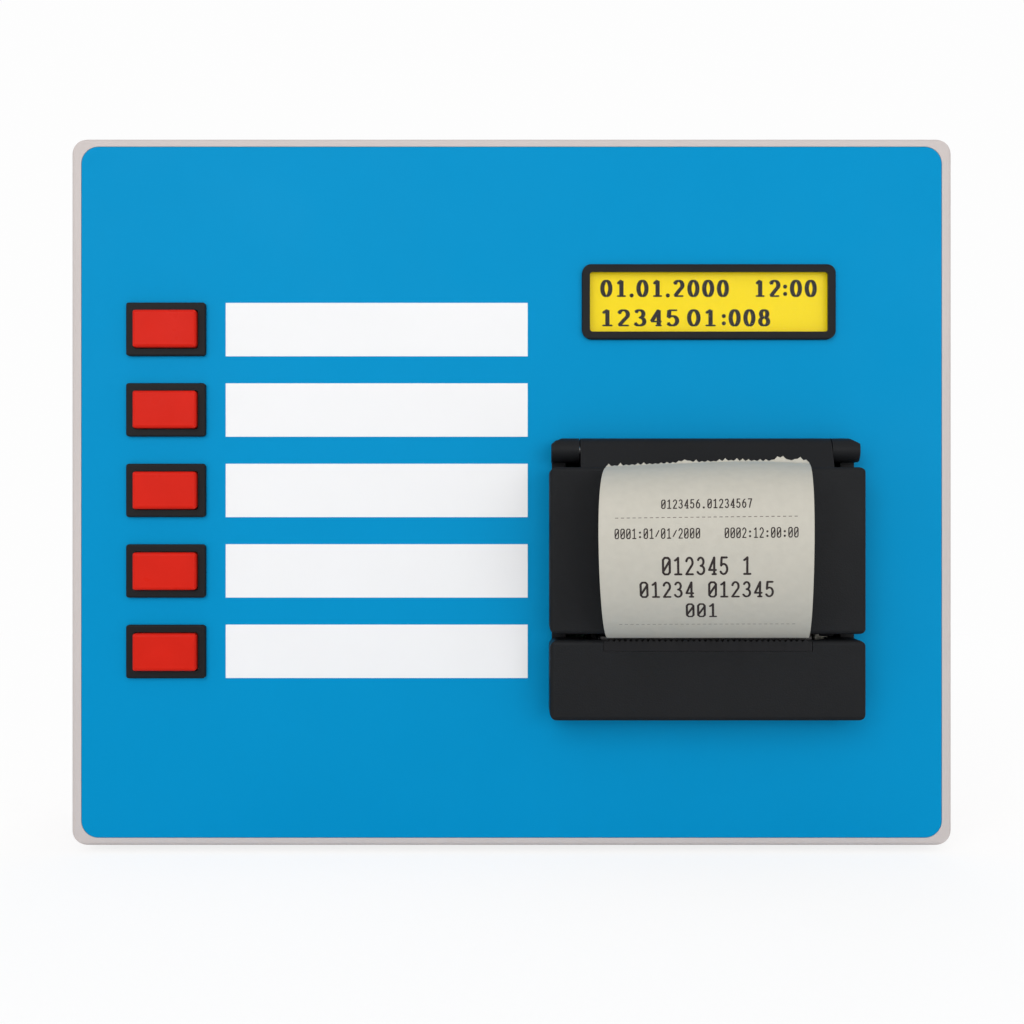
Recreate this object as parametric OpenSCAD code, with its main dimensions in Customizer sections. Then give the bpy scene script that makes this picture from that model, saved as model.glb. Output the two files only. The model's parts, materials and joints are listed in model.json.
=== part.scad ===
// Countertop queue ticket printer: an upright moulded case with service buttons, a display
// and a 58 mm thermal ticket printer in its front. Millimetres, front towards -Y, +Z up.
//
// Pieces are drawn in the panel frame: x = 0 and z = 0 at the middle of the front face,
// y = 0 on its rim, +y going back into the case. in_place() moves them to the part's frame.
// The printer's pieces are drawn about the middle of its own face, moved by at_printer().

/* [Case] */
// Width of the case
case_w = 254; // [250:1:300]
// Height of the case
case_h = 204; // [200:1:240]
// Depth of the case, without sockets and ticket
case_d = 85; // [80:1:120]
// Radius of the case's upright corners, seen from the front
corner_r = 5.2; // [4:0.2:8]
// Rounding of the front and rear edges
edge_r = 1.2; // [0.6:0.1:2]
// Thickness of the side walls
wall = 2.5; // [2:0.1:3]
// Thickness of the front wall
front_wall = 3; // [2.5:0.1:4]
// Depth of the rear cover
cover_d = 8; // [7:0.5:12]
// Gap of the shadow line between shell and cover
seam_gap = 0.4; // [0.2:0.1:0.6]
// Depth of the cover's lip inside the shell
lip_d = 4; // [3:0.5:5]
// Radius of the screw posts
post_r = 4.5; // [4:0.1:5.5]
// Height of the rubber feet
foot_h = 2; // [1.5:0.5:6]
// Radius of the rubber feet
foot_r = 7; // [5:0.5:9]

/* [Front overlay] */
// Rim left bare at each side of the overlay
rim_side = 2.8; // [2.4:0.1:4]
// Rim left bare above and below the overlay
rim_top = 2.25; // [2.2:0.05:4]
// Thickness of the overlay
overlay_t = 0.5; // [0.3:0.05:0.5]
// Depth of the recess that the overlay lies in
recess_d = 0.6; // [0.6:0.05:0.8]
// Corner radius of the overlay
overlay_r = 4.9; // [2:0.1:6]

/* [Service buttons and labels] */
// Number of service buttons
button_n = 5; // [1:1:5]
// Middle of the button column, from the case's left side
button_in = 27.5; // [26:0.1:30]
// Middle of the top button, from the case's top
button_down = 55.1; // [50:0.1:58]
// Distance from button to button
button_pitch = 23.2; // [20:0.1:24]
// Width of a button's bezel
bezel_w = 22.9; // [22:0.1:25]
// Height of a button's bezel
bezel_h = 15.4; // [15:0.1:17]
// Bezel's height above the overlay
bezel_t = 1.5; // [1.2:0.1:2]
// Width of a red cap
cap_w = 18.3; // [17:0.1:18.6]
// Height of a red cap
cap_h = 10.8; // [10:0.1:11]
// Cap's height above its bezel
cap_proud = 2; // [1.9:0.1:3.5]
// Travel of a button
button_travel = 1.8; // [1:0.1:1.8]
// Depth of a button's housing behind the panel
housing_d = 18; // [17:0.5:24]
// Gap between the button column's middle and the white labels
label_gap = 17.05; // [13:0.05:18]
// Gap between the labels' right ends and the printer's face
label_clear = 6.05; // [3:0.05:12]
// Height of a white label
label_h = 15.4; // [10:0.1:16]
// Thickness of a white label
label_t = 0.25; // [0.15:0.05:0.5]

/* [Display] */
// Middle of the display, from the case's right side
lcd_in = 70.2; // [66:0.1:76]
// Middle of the display, from the case's top
lcd_down = 47.2; // [38:0.1:50]
// Width of the display's black frame
lcd_w = 73.1; // [73:0.1:76]
// Height of the display's black frame
lcd_h = 21.7; // [21.4:0.1:24]
// Width of the frame's opening
view_w = 68.5; // [66:0.1:69]
// Height of the frame's opening
view_h = 17.2; // [15:0.1:17.3]
// Frame's height above the panel's rim
lcd_proud = 1.4; // [1:0.1:2.5]
// Height of the display's circuit board
lcd_board_h = 36; // [36:1:40]

/* [Ticket printer] */
// Middle of the printer's face, from the case's right side
printer_in = 72; // [66:0.5:76]
// Middle of the printer's face, from the case's bottom
printer_up = 77.6; // [70:0.1:84]
// Width of the printer's door and lower block
door_w = 88.6; // [88:0.1:92]
// Height of the whole face
face_h = 79.6; // [79:0.1:82]
// Height of the paper slot, from the face's middle
slot_z = -16.4; // [-16.8:0.1:-16.2]
// Height of the gap between door and lower block
slot_gap = 1.7; // [1.5:0.1:2]
// How far door and block stand out of the panel
proud = 12.5; // [12.4:0.1:13.5]
// Thickness of the door's front
door_wall = 1.9; // [1.5:0.1:2]
// Width of the ticket paper
paper_w = 56; // [50:0.5:57]
// Thickness of the paper
paper_t = 0.2; // [0.1:0.05:0.2]
// Height of the ticket's curl
curl_h = 49; // [40:1:54]
// How far the ticket's curl stands out of the slot
curl_out = 30; // [16:1:34]
// How far the curl leans to the left, as a share of how far it stands out
curl_lean = 0.15; // [0:0.01:0.15]
// Radius of the platen roller
platen_r = 4.5; // [4:0.1:4.5]
// Radius of the full paper roll
roll_r = 19; // [14:0.5:19]
// Radius of the roll's core
core_r = 8; // [6:0.5:9]
// Module of the gear teeth
gear_m = 0.5; // [0.49:0.01:0.5]
// Teeth of the platen gear
platen_teeth = 18; // [16:1:18]
// Teeth of the idler gear
idler_teeth = 34; // [30:1:34]
// Teeth of the motor pinion
pinion_teeth = 12; // [12:1:13]
// Radius of the stepper motor
motor_r = 7.5; // [6:0.5:7.5]
// Depth of the printer's housing behind the panel
sleeve_d = 36; // [36:0.5:40]

/* [Rear] */
// Distance between the two wall keyholes
keyhole_w = 140; // [100:1:170]
// Middle of the keyholes' entries, from the case's top
keyhole_down = 34; // [26:0.5:40]
// Radius of a keyhole's entry
keyhole_r = 4.5; // [4:0.1:5]
// Half the width of a keyhole's slot
keyslot_r = 2.25; // [1.8:0.05:2.4]
// Middle of the row of sockets, from the case's bottom
socket_up = 22; // [18:0.5:26]
// Middle of the power inlet, from the case's right side
inlet_in = 31; // [27:1:37]
// Middle of the power switch, from the case's right side
switch_in = 59; // [55:1:67]
// Middle of the data socket, from the case's right side
data_in = 99; // [87:1:117]
// Width of the main circuit board
board_w = 150; // [140:1:160]
// Height of the main circuit board
board_h = 96; // [92:1:100]
// Length of the ventilation slots
vent_w = 70; // [40:1:80]
// Number of ventilation slots in a block
vent_n = 7; // [3:1:8]

/* [Hidden] */
$fn = 48;
skin = 0.01;
clear = 0.2;      // gap round a fitted piece
run = 0.06;       // radial gap of a running fit
screw_fit = 0.05; // radial gap of a thread in its hole

// Case
shell_d = case_d - cover_d;
cover_y = shell_d + seam_gap;
cover_in = case_d - wall;
screw_x = case_w / 2 - wall - post_r + 0.6;
screw_z = case_h / 2 - wall - post_r + 0.6;
face_y = recess_d - overlay_t; // the overlay's surface
foot_x = case_w / 2 - 22;
foot_front = 22;
foot_back = case_d - 18;
switch_proud = 1.8;
rocker_r = 7.7;
rocker_end = 3.4;   // height of the rocker's ends above its pivot
rocker_mid = 2.1;
rocker_tilt = 10;
rocker_sunk = 1.2;  // depth of the pivot below the cover's face
rocker_pin_r = 0.9;
rocker_half = sqrt(pow(rocker_r, 2) - pow(rocker_end, 2));
rear_out = rocker_end * cos(rocker_tilt) + rocker_half * sin(rocker_tilt) - rocker_sunk;
slot_y = -proud + 0.3;
ticket_out = curl_out - slot_y;
panel_y = (ticket_out - case_d - rear_out) / 2;
panel_z = foot_h + case_h / 2;

keyhole_z = case_h / 2 - keyhole_down;
socket_z = socket_up - case_h / 2;
inlet_x = case_w / 2 - inlet_in;
switch_x = case_w / 2 - switch_in;
data_x = case_w / 2 - data_in;

// Buttons
button_x = button_in - case_w / 2;
button_top = case_h / 2 - button_down;
body_w = bezel_w - 1.5;
body_h = bezel_h - 2;
bezel_y = face_y - bezel_t;
cap_y = bezel_y - cap_proud;
flange_y = 4.5;
button_floor = housing_d - 4;
button_board_y = housing_d + 5;
cap_roof = 1.6;
button_spring_r = 3;
wire_r = 0.3;
spring_steps = 10;
spring_sides = 5;

// Display, counted back from the panel's face
lcd_x = case_w / 2 - lcd_in;
lcd_z = case_h / 2 - lcd_down;
lcd_collar_w = view_w + 3;
lcd_collar_h = view_h + 2.95;
lcd_pocket_w = view_w + 1.8;
lcd_pocket_h = view_h + 1.75;
lcd_lip = 1.1;
window_t = 1;
glass_y = window_t + face_y;
glass_t = 3.4;
tin_y = front_wall + 1;
tin_d = 6;
tin_t = 0.5;
tin_w = lcd_collar_w + 3.5;
tin_h = lcd_collar_h + 4.85;
tin_tabs = [-0.4, -0.13, 0.13, 0.4] * tin_w;
lcd_board_y = tin_y + tin_d;
lcd_board_w = tin_w + 5;
lcd_screw_w = lcd_board_w - 5;
lcd_screw_h = lcd_board_h - 5;
pcb_t = 1.6;

// Printer, about the middle of its face
printer_x = case_w / 2 - printer_in;
printer_z = printer_up - case_h / 2;
label_w = printer_x - door_w / 2 - label_clear - button_x - label_gap;
label_x = button_x + label_gap + label_w / 2;
strip_w = door_w - 1.4;
hinge_r = 3.4;
hinge_pin_r = 1;
hinge_z = face_h / 2 - 0.15 - hinge_r;
hinge_y = -5.3;
strip_low = hinge_z - hinge_r;
door_low = slot_z + slot_gap / 2;
door_high = strip_low - 1.6;
door_back = -3;
door_mid = (door_low + door_high) / 2;
block_high = slot_z - slot_gap / 2;
block_low = -face_h / 2;
sleeve_wall = 1.8;
sleeve_h = face_h - 6.5;
flange_t = 1.7;
platen_y = hinge_y;
nip_gap = 0.05;
platen_z = slot_z + paper_t / 2 + nip_gap + platen_r;
// Across, from the middle outwards: paper, roller, door arms and cheeks, gears, sleeve
roll_half = paper_w / 2 + 0.3;
roller_half = roll_half + 0.3;
arm_in = roller_half + 1;
arm_out = arm_in + 2.2;
cheek_in = arm_in + 0.8;
cheek_out = arm_out;
gear_in = cheek_out + 1;
gear_out = gear_in + 3.5;
ear_in = gear_out - 0.5;
sleeve_w = 2 * (gear_out + 3.2 + sleeve_wall);
tab_x = cheek_out + 4.3;
tab_w = 6.8;
head_half = cheek_in - 0.6;
shaft_r = 1.5;
arm_r = 4.1;
bush_r = 2.6;
addendum = 0.8 * gear_m;
backlash = 0.08;
idler_y = platen_y + gear_m * (platen_teeth + idler_teeth) / 2;
idler_z = platen_z;
pinion_dir = -45;
pinion_y = idler_y + gear_m * (idler_teeth + pinion_teeth) / 2 * cos(pinion_dir);
pinion_z = idler_z + gear_m * (idler_teeth + pinion_teeth) / 2 * sin(pinion_dir);
motor_in = 13;
post_pin_r = 1;
roll_y = 13;
roll_z = 11;
bucket_gap = 0.8;
bucket_t = 1.5;
web_low = slot_z - paper_t / 2;
nip_y = platen_y + 1;
// The web runs straight from the nip to a tangent on the roll's lower back
web_run = sqrt(pow(roll_y - nip_y, 2) + pow(roll_z - slot_z, 2));
web_dir = atan2(roll_z - slot_z, roll_y - nip_y) - asin((roll_r + paper_t) / web_run);
web_len = sqrt(pow(web_run, 2) - pow(roll_r + paper_t, 2));
head_top = web_low - nip_gap;
head_t = 1;
sink_t = 3;
head_front = -8.3;
sink_back = 7;
pivot_y = 5.6;
pivot_z = head_top - head_t - sink_t / 2;
base_low = -33;
base_t = 1.6;
head_spring_x = 18;
head_spring_y = -1;
head_spring_r = 2.2;
printer_board_y = 30;
tab_y = 24;
tab_t = 2;
tab_low = 25;
tab_high = 31;

// Main board
part_edge = 10; // from the board's sides to the middle of the parts along them
header_h = 7;
plug_gap = 0.1;
stud_h = 11;
board_y = cover_in - stud_h - pcb_t;
board_x = 10;
board_z = 0;
board_hole = 5;
lcd_header_x = lcd_x - board_x;
lcd_header_z = board_h / 2 - part_edge - 4;
printer_header_x = printer_x - board_x - 19;
printer_header_z = -board_h / 2 + part_edge + 2;
button_header_x = part_edge - board_w / 2;
button_header_z = button_top - 1.5 * button_pitch;
ribbon_t = 0.9;
small_r = 1.2;
small_head = 2.2;

shell_grey = [0.82, 0.78, 0.77];
panel_blue = [0, 0.57, 0.8];
cap_red = [0.86, 0.17, 0.11];
black = [0.15, 0.15, 0.16];
steel = [0.72, 0.73, 0.75];
board_green = [0.06, 0.35, 0.2];
paper_white = [0.9, 0.89, 0.85];
nylon = [0.93, 0.91, 0.85];

// ---- Places and simple forms ----

module in_place() translate([0, panel_y, panel_z]) children();
module at_printer() in_place() translate([printer_x, 0, printer_z]) children();
module at_lcd() in_place() translate([lcd_x, 0, lcd_z]) children();
module at_button(i) in_place() translate([button_x, 0, button_top - (i - 1) * button_pitch]) children();
module at_board() in_place() translate([board_x, 0, board_z]) children();
module both_sides() for (s = [0, 1]) mirror([s, 0, 0]) children();
module at_corners(x, z) for (sx = [-1, 1], sz = [-1, 1]) translate([sx * x, 0, sz * z]) children();

// An outline drawn in x and z, extruded from y0 back to y1
module slab(y0, y1) translate([0, y1, 0]) rotate([90, 0, 0]) linear_extrude(y1 - y0) children();

// A profile drawn in y and z, extruded from x0 to x1
module bar(x0, x1) translate([x0, 0, 0]) rotate([90, 0, 90]) linear_extrude(x1 - x0) children();

// Round pieces along y and along x
module post(y0, y1, r) translate([0, y0, 0]) rotate([-90, 0, 0]) cylinder(h = y1 - y0, r = r);
module rod(x0, x1, y, z, r) translate([x0, y, z]) rotate([0, 90, 0]) cylinder(h = x1 - x0, r = r);

module rect(w, h, r = 0) {
    if (h > 2 * r + skin) square([w, h - 2 * r], center = true);
    if (r > 0) {
        square([w - 2 * r, h], center = true);
        for (x = [-1, 1], y = [-1, 1]) translate([x * (w / 2 - r), y * (h / 2 - r)]) circle(r = r);
    }
}

// The section across a plate from y0 back to y1, with its two front corners rounded
module rounded_front(across, edge, y0, y1) {
    translate([y0 + edge, -across / 2]) square([y1 - y0 - edge, across]);
    translate([y0, edge - across / 2]) square([y1 - y0, across - 2 * edge]);
    for (s = [-1, 1]) translate([y0 + edge, s * (across / 2 - edge)]) circle(r = edge);
}

// A plate of outline w by h whose four front edges, at y0, are rounded
module crowned(w, h, r, edge, y0, y1) intersection() {
    slab(y0, y1) rect(w, h, r);
    bar(-w, w) rounded_front(h, edge, y0, y1);
    translate([0, 0, -h]) linear_extrude(2 * h) mirror([1, -1, 0]) rounded_front(w, edge, y0, y1);
}

module crowned_back(w, h, r, edge, y0, y1)
    translate([0, y0 + y1, 0]) mirror([0, 1, 0]) crowned(w, h, r, edge, y0, y1);

// A compression spring standing on z = 0
module coil_spring(r, length, turns) {
    last = spring_steps * turns;
    ring = [for (i = [0:last], j = [0:spring_sides - 1])
        let (a = 360 * i / spring_steps, b = 360 * j / spring_sides, d = r + wire_r * cos(b),
             z = wire_r + (length - 2 * wire_r) * i / last)
        [d * cos(a), d * sin(a), z + wire_r * sin(b)]];
    ends = [[for (j = [0:spring_sides - 1]) j],
            [for (j = [spring_sides - 1:-1:0]) last * spring_sides + j]];
    sides = [for (i = [0:last - 1], j = [0:spring_sides - 1])
        let (p = i * spring_sides, k = (j + 1) % spring_sides)
        each [[p + j, p + j + spring_sides, p + k + spring_sides],
              [p + j, p + k + spring_sides, p + k]]];
    echo(str("Spring gap between turns ", (length - 2 * wire_r) / turns - 2 * wire_r, " mm"));
    polyhedron(ring, concat(ends, sides));
}

// A small pan-head screw: its head's seat at y0, its tip towards -y
module small_screw(y0, length) {
    post(y0, y0 + 1.5, small_head);
    post(y0 - length, y0, small_r);
}

// Involute gear outline, 20 degree pressure angle, one tooth centred on the first axis
function inv(rb, r) = let (a = acos(rb / r)) tan(a) * 180 / PI - a;
function polar(r, a) = [r * cos(a), r * sin(a)];
function gear_outline(z) =
    let (rp = gear_m * z / 2, rb = rp * cos(20), tip = rp + addendum, root = rp - 1.05 * gear_m,
         half = 90 / z - backlash / 2 / rp * 180 / PI / 2 + inv(rb, rp),
         low = max(rb + skin, root + skin), r = [for (i = [0:3]) low + (tip - low) * i / 3])
    [for (k = [0:z - 1]) let (c = 360 * k / z) each concat(
        [polar(root, c - half + inv(rb, low))],
        [for (i = [0:3]) polar(r[i], c - half + inv(rb, r[i]))],
        [for (i = [3:-1:0]) polar(r[i], c + half - inv(rb, r[i]))],
        [polar(root, c + half - inv(rb, low))])];
// Turns the second gear of a pair so that its gap meets the first gear's tooth
function mesh_turn(z1, turn1, z2, dir) =
    let (p1 = 360 / z1, p2 = 360 / z2) dir + 180 - p2 * (0.5 - (dir - turn1) / p1);
idler_turn = mesh_turn(platen_teeth, 0, idler_teeth, 0);
pinion_turn = mesh_turn(idler_teeth, idler_turn, pinion_teeth, pinion_dir);

// ---- Case ----

// Every cut-out that the front wall and the overlay share
module panel_holes() {
    for (i = [1:button_n]) translate([button_x, button_top - (i - 1) * button_pitch])
        rect(body_w + 2 * clear, body_h + 2 * clear);
    translate([lcd_x, lcd_z]) rect(lcd_collar_w + clear, lcd_collar_h + clear, 0.6);
    translate([printer_x, printer_z]) rect(sleeve_w + 2 * clear, sleeve_h + 2 * clear, 2);
}

module front_shell() color(shell_grey) in_place() difference() {
    union() {
        difference() {
            crowned(case_w, case_h, corner_r, edge_r, 0, shell_d);
            slab(front_wall, shell_d + 1) rect(case_w - 2 * wall, case_h - 2 * wall, corner_r - wall);
        }
        at_corners(screw_x, screw_z) post(front_wall - skin, shell_d, post_r);
        translate([lcd_x, 0, lcd_z]) at_corners(lcd_screw_w / 2, lcd_screw_h / 2)
            post(front_wall - skin, lcd_board_y, small_head + 0.3);
        shell_ribs();
    }
    slab(-1, recess_d) rect(case_w - 2 * rim_side, case_h - 2 * rim_top, overlay_r + 0.1);
    slab(0, front_wall + 1) panel_holes();
    at_corners(screw_x, screw_z) post(shell_d - 16, shell_d + 1, 1.45 + screw_fit);
    translate([lcd_x, 0, lcd_z]) at_corners(lcd_screw_w / 2, lcd_screw_h / 2)
        post(lcd_board_y - 6, lcd_board_y + 1, small_r + screw_fit);
    for (x = [-foot_x, foot_x], y = [foot_front, foot_back])
        translate([x, y, -case_h / 2 - 1]) cylinder(h = wall + 2, r = 2.1);
}

// Stiffening ribs along the inside of the top and bottom walls
module shell_ribs() for (z = [-1, 1], x = [-4.5:1:4.5])
    translate([x * case_w / 10, (front_wall + 0.6 * shell_d) / 2, z * (case_h / 2 - wall - 0.9)])
        cube([1.4, 0.6 * shell_d - front_wall + 0.2, 2], center = true);

module rear_cover() color(shell_grey) in_place() difference() {
    union() {
        difference() {
            crowned_back(case_w, case_h, corner_r, edge_r, cover_y, case_d);
            slab(cover_y - 1, cover_in) rect(case_w - 2 * wall, case_h - 2 * wall, corner_r - wall);
        }
        difference() {
            slab(shell_d - lip_d, cover_in + skin) difference() {
                rect(case_w - 2 * wall - 2 * clear, case_h - 2 * wall - 2 * clear, corner_r - wall);
                rect(case_w - 4 * wall, case_h - 4 * wall, 1);
            }
            at_corners(screw_x, screw_z) post(shell_d - lip_d - 1, cover_y, post_r + 0.5);
        }
        at_corners(screw_x, screw_z) post(cover_y, cover_in + skin, post_r);
        translate([board_x, 0, board_z]) at_corners(board_w / 2 - board_hole, board_h / 2 - board_hole)
            post(cover_in - stud_h, cover_in + skin, 3);
    }
    at_corners(screw_x, screw_z) {
        post(cover_y - 1, case_d + 1, 1.7);
        post(case_d - 2.6, case_d + 1, 3.1);
    }
    translate([board_x, 0, board_z]) at_corners(board_w / 2 - board_hole, board_h / 2 - board_hole)
        post(cover_in - stud_h - 1, cover_in - 1.5, small_r + screw_fit);
    for (x = [-keyhole_w / 2, keyhole_w / 2]) translate([x, 0, keyhole_z]) {
        post(cover_in - 1, case_d + 1, keyhole_r);
        slab(cover_in - 1, case_d + 1) translate([0, 4.5]) square([2 * keyslot_r, 9], center = true);
        translate([0, 0, 9]) post(cover_in - 1, case_d + 1, keyslot_r);
    }
    for (s = [-1, 1], i = [0:vent_n - 1])
        translate([s * (vent_w / 2 + 5), 0, 30 - i * 6])
            slab(cover_in - 1, case_d + 1) rect(vent_w, 2.4, 1.2);
    translate([inlet_x, 0, socket_z]) post(cover_in - 1, case_d + 1, 4.1);
    translate([switch_x, 0, socket_z]) slab(cover_in - 1, case_d + 1) rect(13.4, 19.4, 0.4);
    translate([data_x, 0, socket_z]) slab(cover_in - 1, case_d + 1) rect(16.4, 13.9);
}

module front_overlay() color(panel_blue) in_place() slab(face_y, recess_d) difference() {
    rect(case_w - 2 * rim_side - 0.2, case_h - 2 * rim_top - 0.2, overlay_r);
    panel_holes();
}

module service_labels() color("white") for (i = [1:button_n]) at_button(i)
    translate([label_x - button_x, 0, 0]) slab(face_y - label_t, face_y) rect(label_w, label_h);

module case_screws() color(steel) in_place() at_corners(screw_x, screw_z) {
    difference() {
        post(case_d - 2.6, case_d - 0.5, 2.9);
        for (a = [0, 90]) rotate([0, a, 0])
            translate([0, case_d, 0]) cube([3.6, 2.4, 0.8], center = true);
    }
    post(shell_d - 14, case_d - 2.6, 1.45);
}

module rubber_feet() color(black) for (x = [-foot_x, foot_x], y = [foot_front, foot_back])
    translate([x, panel_y + y, 0]) {
        cylinder(h = foot_h, r1 = foot_r - 0.8, r2 = foot_r);
        translate([0, 0, foot_h]) cylinder(h = wall, r = 2);
        translate([0, 0, foot_h + wall]) cylinder(h = 1.6, r1 = 2.6, r2 = 1.6);
    }

// ---- Display ----

module lcd_frame() color(black) at_lcd() {
    difference() {
        crowned(lcd_w, lcd_h, 2.9, 0.6, face_y - lcd_proud - 0.1, face_y);
        slab(-lcd_proud - 1, 1) rect(view_w, view_h, 0.8);
        slab(face_y - lcd_lip + 0.7, 1) rect(lcd_pocket_w, lcd_pocket_h, 0.4);
    }
    slab(face_y, front_wall + 0.8) difference() {
        rect(lcd_collar_w, lcd_collar_h, 0.6);
        rect(lcd_pocket_w, lcd_pocket_h, 0.4);
    }
}

module lcd_window() color([0.9, 0.95, 1, 0.3]) at_lcd()
    slab(face_y - lcd_lip + 0.7, face_y - lcd_lip + 0.7 + window_t)
        rect(lcd_pocket_w - clear, lcd_pocket_h - clear, 0.4);

module lcd_glass() color([0.98, 0.87, 0.1]) at_lcd()
    slab(glass_y, glass_y + glass_t) rect(lcd_pocket_w - 2 * clear, lcd_pocket_h - 2 * clear);

// Bent tin frame: a ring with a lip round the glass and tabs through the board
module lcd_bezel() color(steel) at_lcd() {
    slab(tin_y, tin_y + tin_t) difference() {
        rect(tin_w, tin_h, 0.6);
        rect(lcd_pocket_w, lcd_pocket_h);
    }
    slab(tin_y + tin_t - skin, lcd_board_y) difference() {
        rect(tin_w, tin_h, 0.6);
        rect(tin_w - 2 * tin_t, tin_h - 2 * tin_t);
    }
    for (x = tin_tabs, z = [-1, 1]) translate([x, lcd_board_y + 1.1, z * (tin_h - tin_t) / 2])
        cube([2, 2.2 + 2 * skin, tin_t], center = true);
}

module lcd_backlight() color("white") at_lcd()
    slab(tin_y + tin_t + 0.1, lcd_board_y) rect(tin_w - 1.6, tin_h - 1.6, 0.5);

module lcd_board() color(board_green) at_lcd() {
    difference() {
        slab(lcd_board_y, lcd_board_y + pcb_t) rect(lcd_board_w, lcd_board_h, 1);
        at_corners(lcd_screw_w / 2, lcd_screw_h / 2)
            post(lcd_board_y - 1, lcd_board_y + pcb_t + 1, small_r + clear);
        for (x = tin_tabs, z = [-1, 1]) translate([x, lcd_board_y + 1, z * (tin_h - tin_t) / 2])
            cube([2.4, 4, tin_t + 0.4], center = true);
    }
    for (x = [-16, 16]) translate([x, lcd_board_y + pcb_t + 0.9, 0]) rotate([-90, 0, 0])
        cylinder(h = 1.8, r = 6, center = true);
    translate([0, lcd_board_y + pcb_t + 1, lcd_board_h / 2 - 2.8])
        cube([lcd_board_w / 2, 2 + skin, 2.6], center = true);
}

// ---- Buttons ----

module button_cap(i) color(cap_red) at_button(i) {
    difference() {
        union() {
            crowned(cap_w, cap_h, 1, 0.9, cap_y, flange_y + 0.2);
            slab(flange_y, flange_y + 1.4) rect(cap_w + 1.2, cap_h + 0.8);
        }
        slab(cap_y + cap_roof, flange_y + 2) rect(cap_w - 3, cap_h - 2.4, 0.8);
    }
    post(cap_y + cap_roof - skin, button_floor + 1, 1.8);
}

module button_housing(i) color(black) at_button(i) difference() {
    union() {
        crowned(bezel_w, bezel_h, 1, 0.5, bezel_y, face_y);
        slab(face_y - skin, housing_d) rect(body_w, body_h);
        for (s = [-1, 1]) bar(-3, 3) polygon([
            [front_wall + 0.1, s * (body_h / 2 - skin)],
            [front_wall + 0.1, s * (body_h / 2 + 0.9)],
            [front_wall + 4, s * (body_h / 2 - skin)]]);
    }
    slab(bezel_y - 1, flange_y) rect(cap_w + 2 * clear, cap_h + 2 * clear, 0.8);
    slab(flange_y - 0.1, button_floor) rect(cap_w + 1.7, cap_h + 1.3);
    post(button_floor - 1, housing_d + 1, 2.1);
}

module button_spring(i) color(steel) at_button(i) translate([0, cap_y + cap_roof, 0])
    rotate([-90, 0, 0]) coil_spring(button_spring_r, button_floor - cap_y - cap_roof, 5);

// Two blades a button, from its housing's back through the circuit board
module button_terminals() color([0.85, 0.7, 0.35]) for (i = [1:button_n], s = [-1, 1])
    at_button(i) translate([s * 6, (housing_d + button_board_y + 3) / 2, 0])
        cube([2.6, button_board_y + 3 - housing_d, 0.8], center = true);

module button_board() color(board_green) in_place() {
    low = button_top - (button_n - 1) * button_pitch - 9;
    difference() {
        translate([button_x, 0, (button_top + 9 + low) / 2])
            slab(button_board_y, button_board_y + pcb_t) rect(22, button_top + 9 - low, 1);
        for (i = [1:button_n], s = [-1, 1])
            translate([button_x + s * 6, button_board_y, button_top - (i - 1) * button_pitch])
                cube([2.7, 8, 0.9], center = true);
    }
    translate([button_x + 8, button_board_y + pcb_t + 1, button_header_z])
        cube([4, 2 + skin, 11], center = true);
}

// ---- Ticket printer ----

module printer_housing() color(black) at_printer() difference() {
    union() {
        difference() {
            union() {
                slab(-flange_t, face_y) translate([0, 0.1]) rect(strip_w - 0.4, face_h - 1, 2);
                slab(face_y - skin, sleeve_d) rect(sleeve_w, sleeve_h, 2);
            }
            slab(-flange_t - 1, sleeve_d + 1)
                rect(sleeve_w - 2 * sleeve_wall, sleeve_h - 2 * sleeve_wall, 1);
        }
        both_sides() {
            hinge_ear();
            for (z = [-tab_high, tab_low]) translate([tab_x - 1.7, 8, z])
                cube([sleeve_w / 2 - sleeve_wall - tab_x + 1.7 + skin, tab_y - 8, tab_high - tab_low]);
        }
    }
    rod(1.5 - strip_w / 2, strip_w / 2 - 1.5, hinge_y, hinge_z, hinge_pin_r + screw_fit);
    at_corners(tab_x, (tab_low + tab_high) / 2) post(tab_y - 10, tab_y + 1, small_r + screw_fit);
}

// One end of the strip above the door, which holds the hinge pin
module hinge_ear() difference() {
    bar(ear_in, strip_w / 2) {
        translate([hinge_y, hinge_z]) circle(r = hinge_r);
        translate([hinge_y, strip_low]) square([-hinge_y + face_y - 0.1, 2 * hinge_r]);
    }
    slab(hinge_y - hinge_r - 1, face_y) polygon([
        [strip_w / 2 - 3.4, face_h / 2 + 0.2], [strip_w / 2 + 0.2, face_h / 2 - 1.9],
        [strip_w / 2 + 2, face_h / 2 + 2]]);
}

module printer_front_block() color(black) at_printer() difference() {
    translate([0, 0, (block_low + block_high) / 2])
        crowned(door_w, block_high - block_low, 2.3, 1.2, -proud, -flange_t);
    translate([0, 0, (block_low + block_high) / 2]) slab(-proud + 1.8, 1)
        rect(door_w - 3.6, block_high - block_low - 3.6, 1);
    // The print head and the paper pass over this part of the top wall
    translate([-roller_half - 6, head_front - 1.2, block_high - 2])
        cube([2 * (roller_half + 6), 20, 4]);
    // Seat of the tear bar
    translate([-roller_half - 0.7, -proud - 1, block_high - 3.1])
        cube([2 * (roller_half + 0.7), 1.65, 8]);
}

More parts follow.
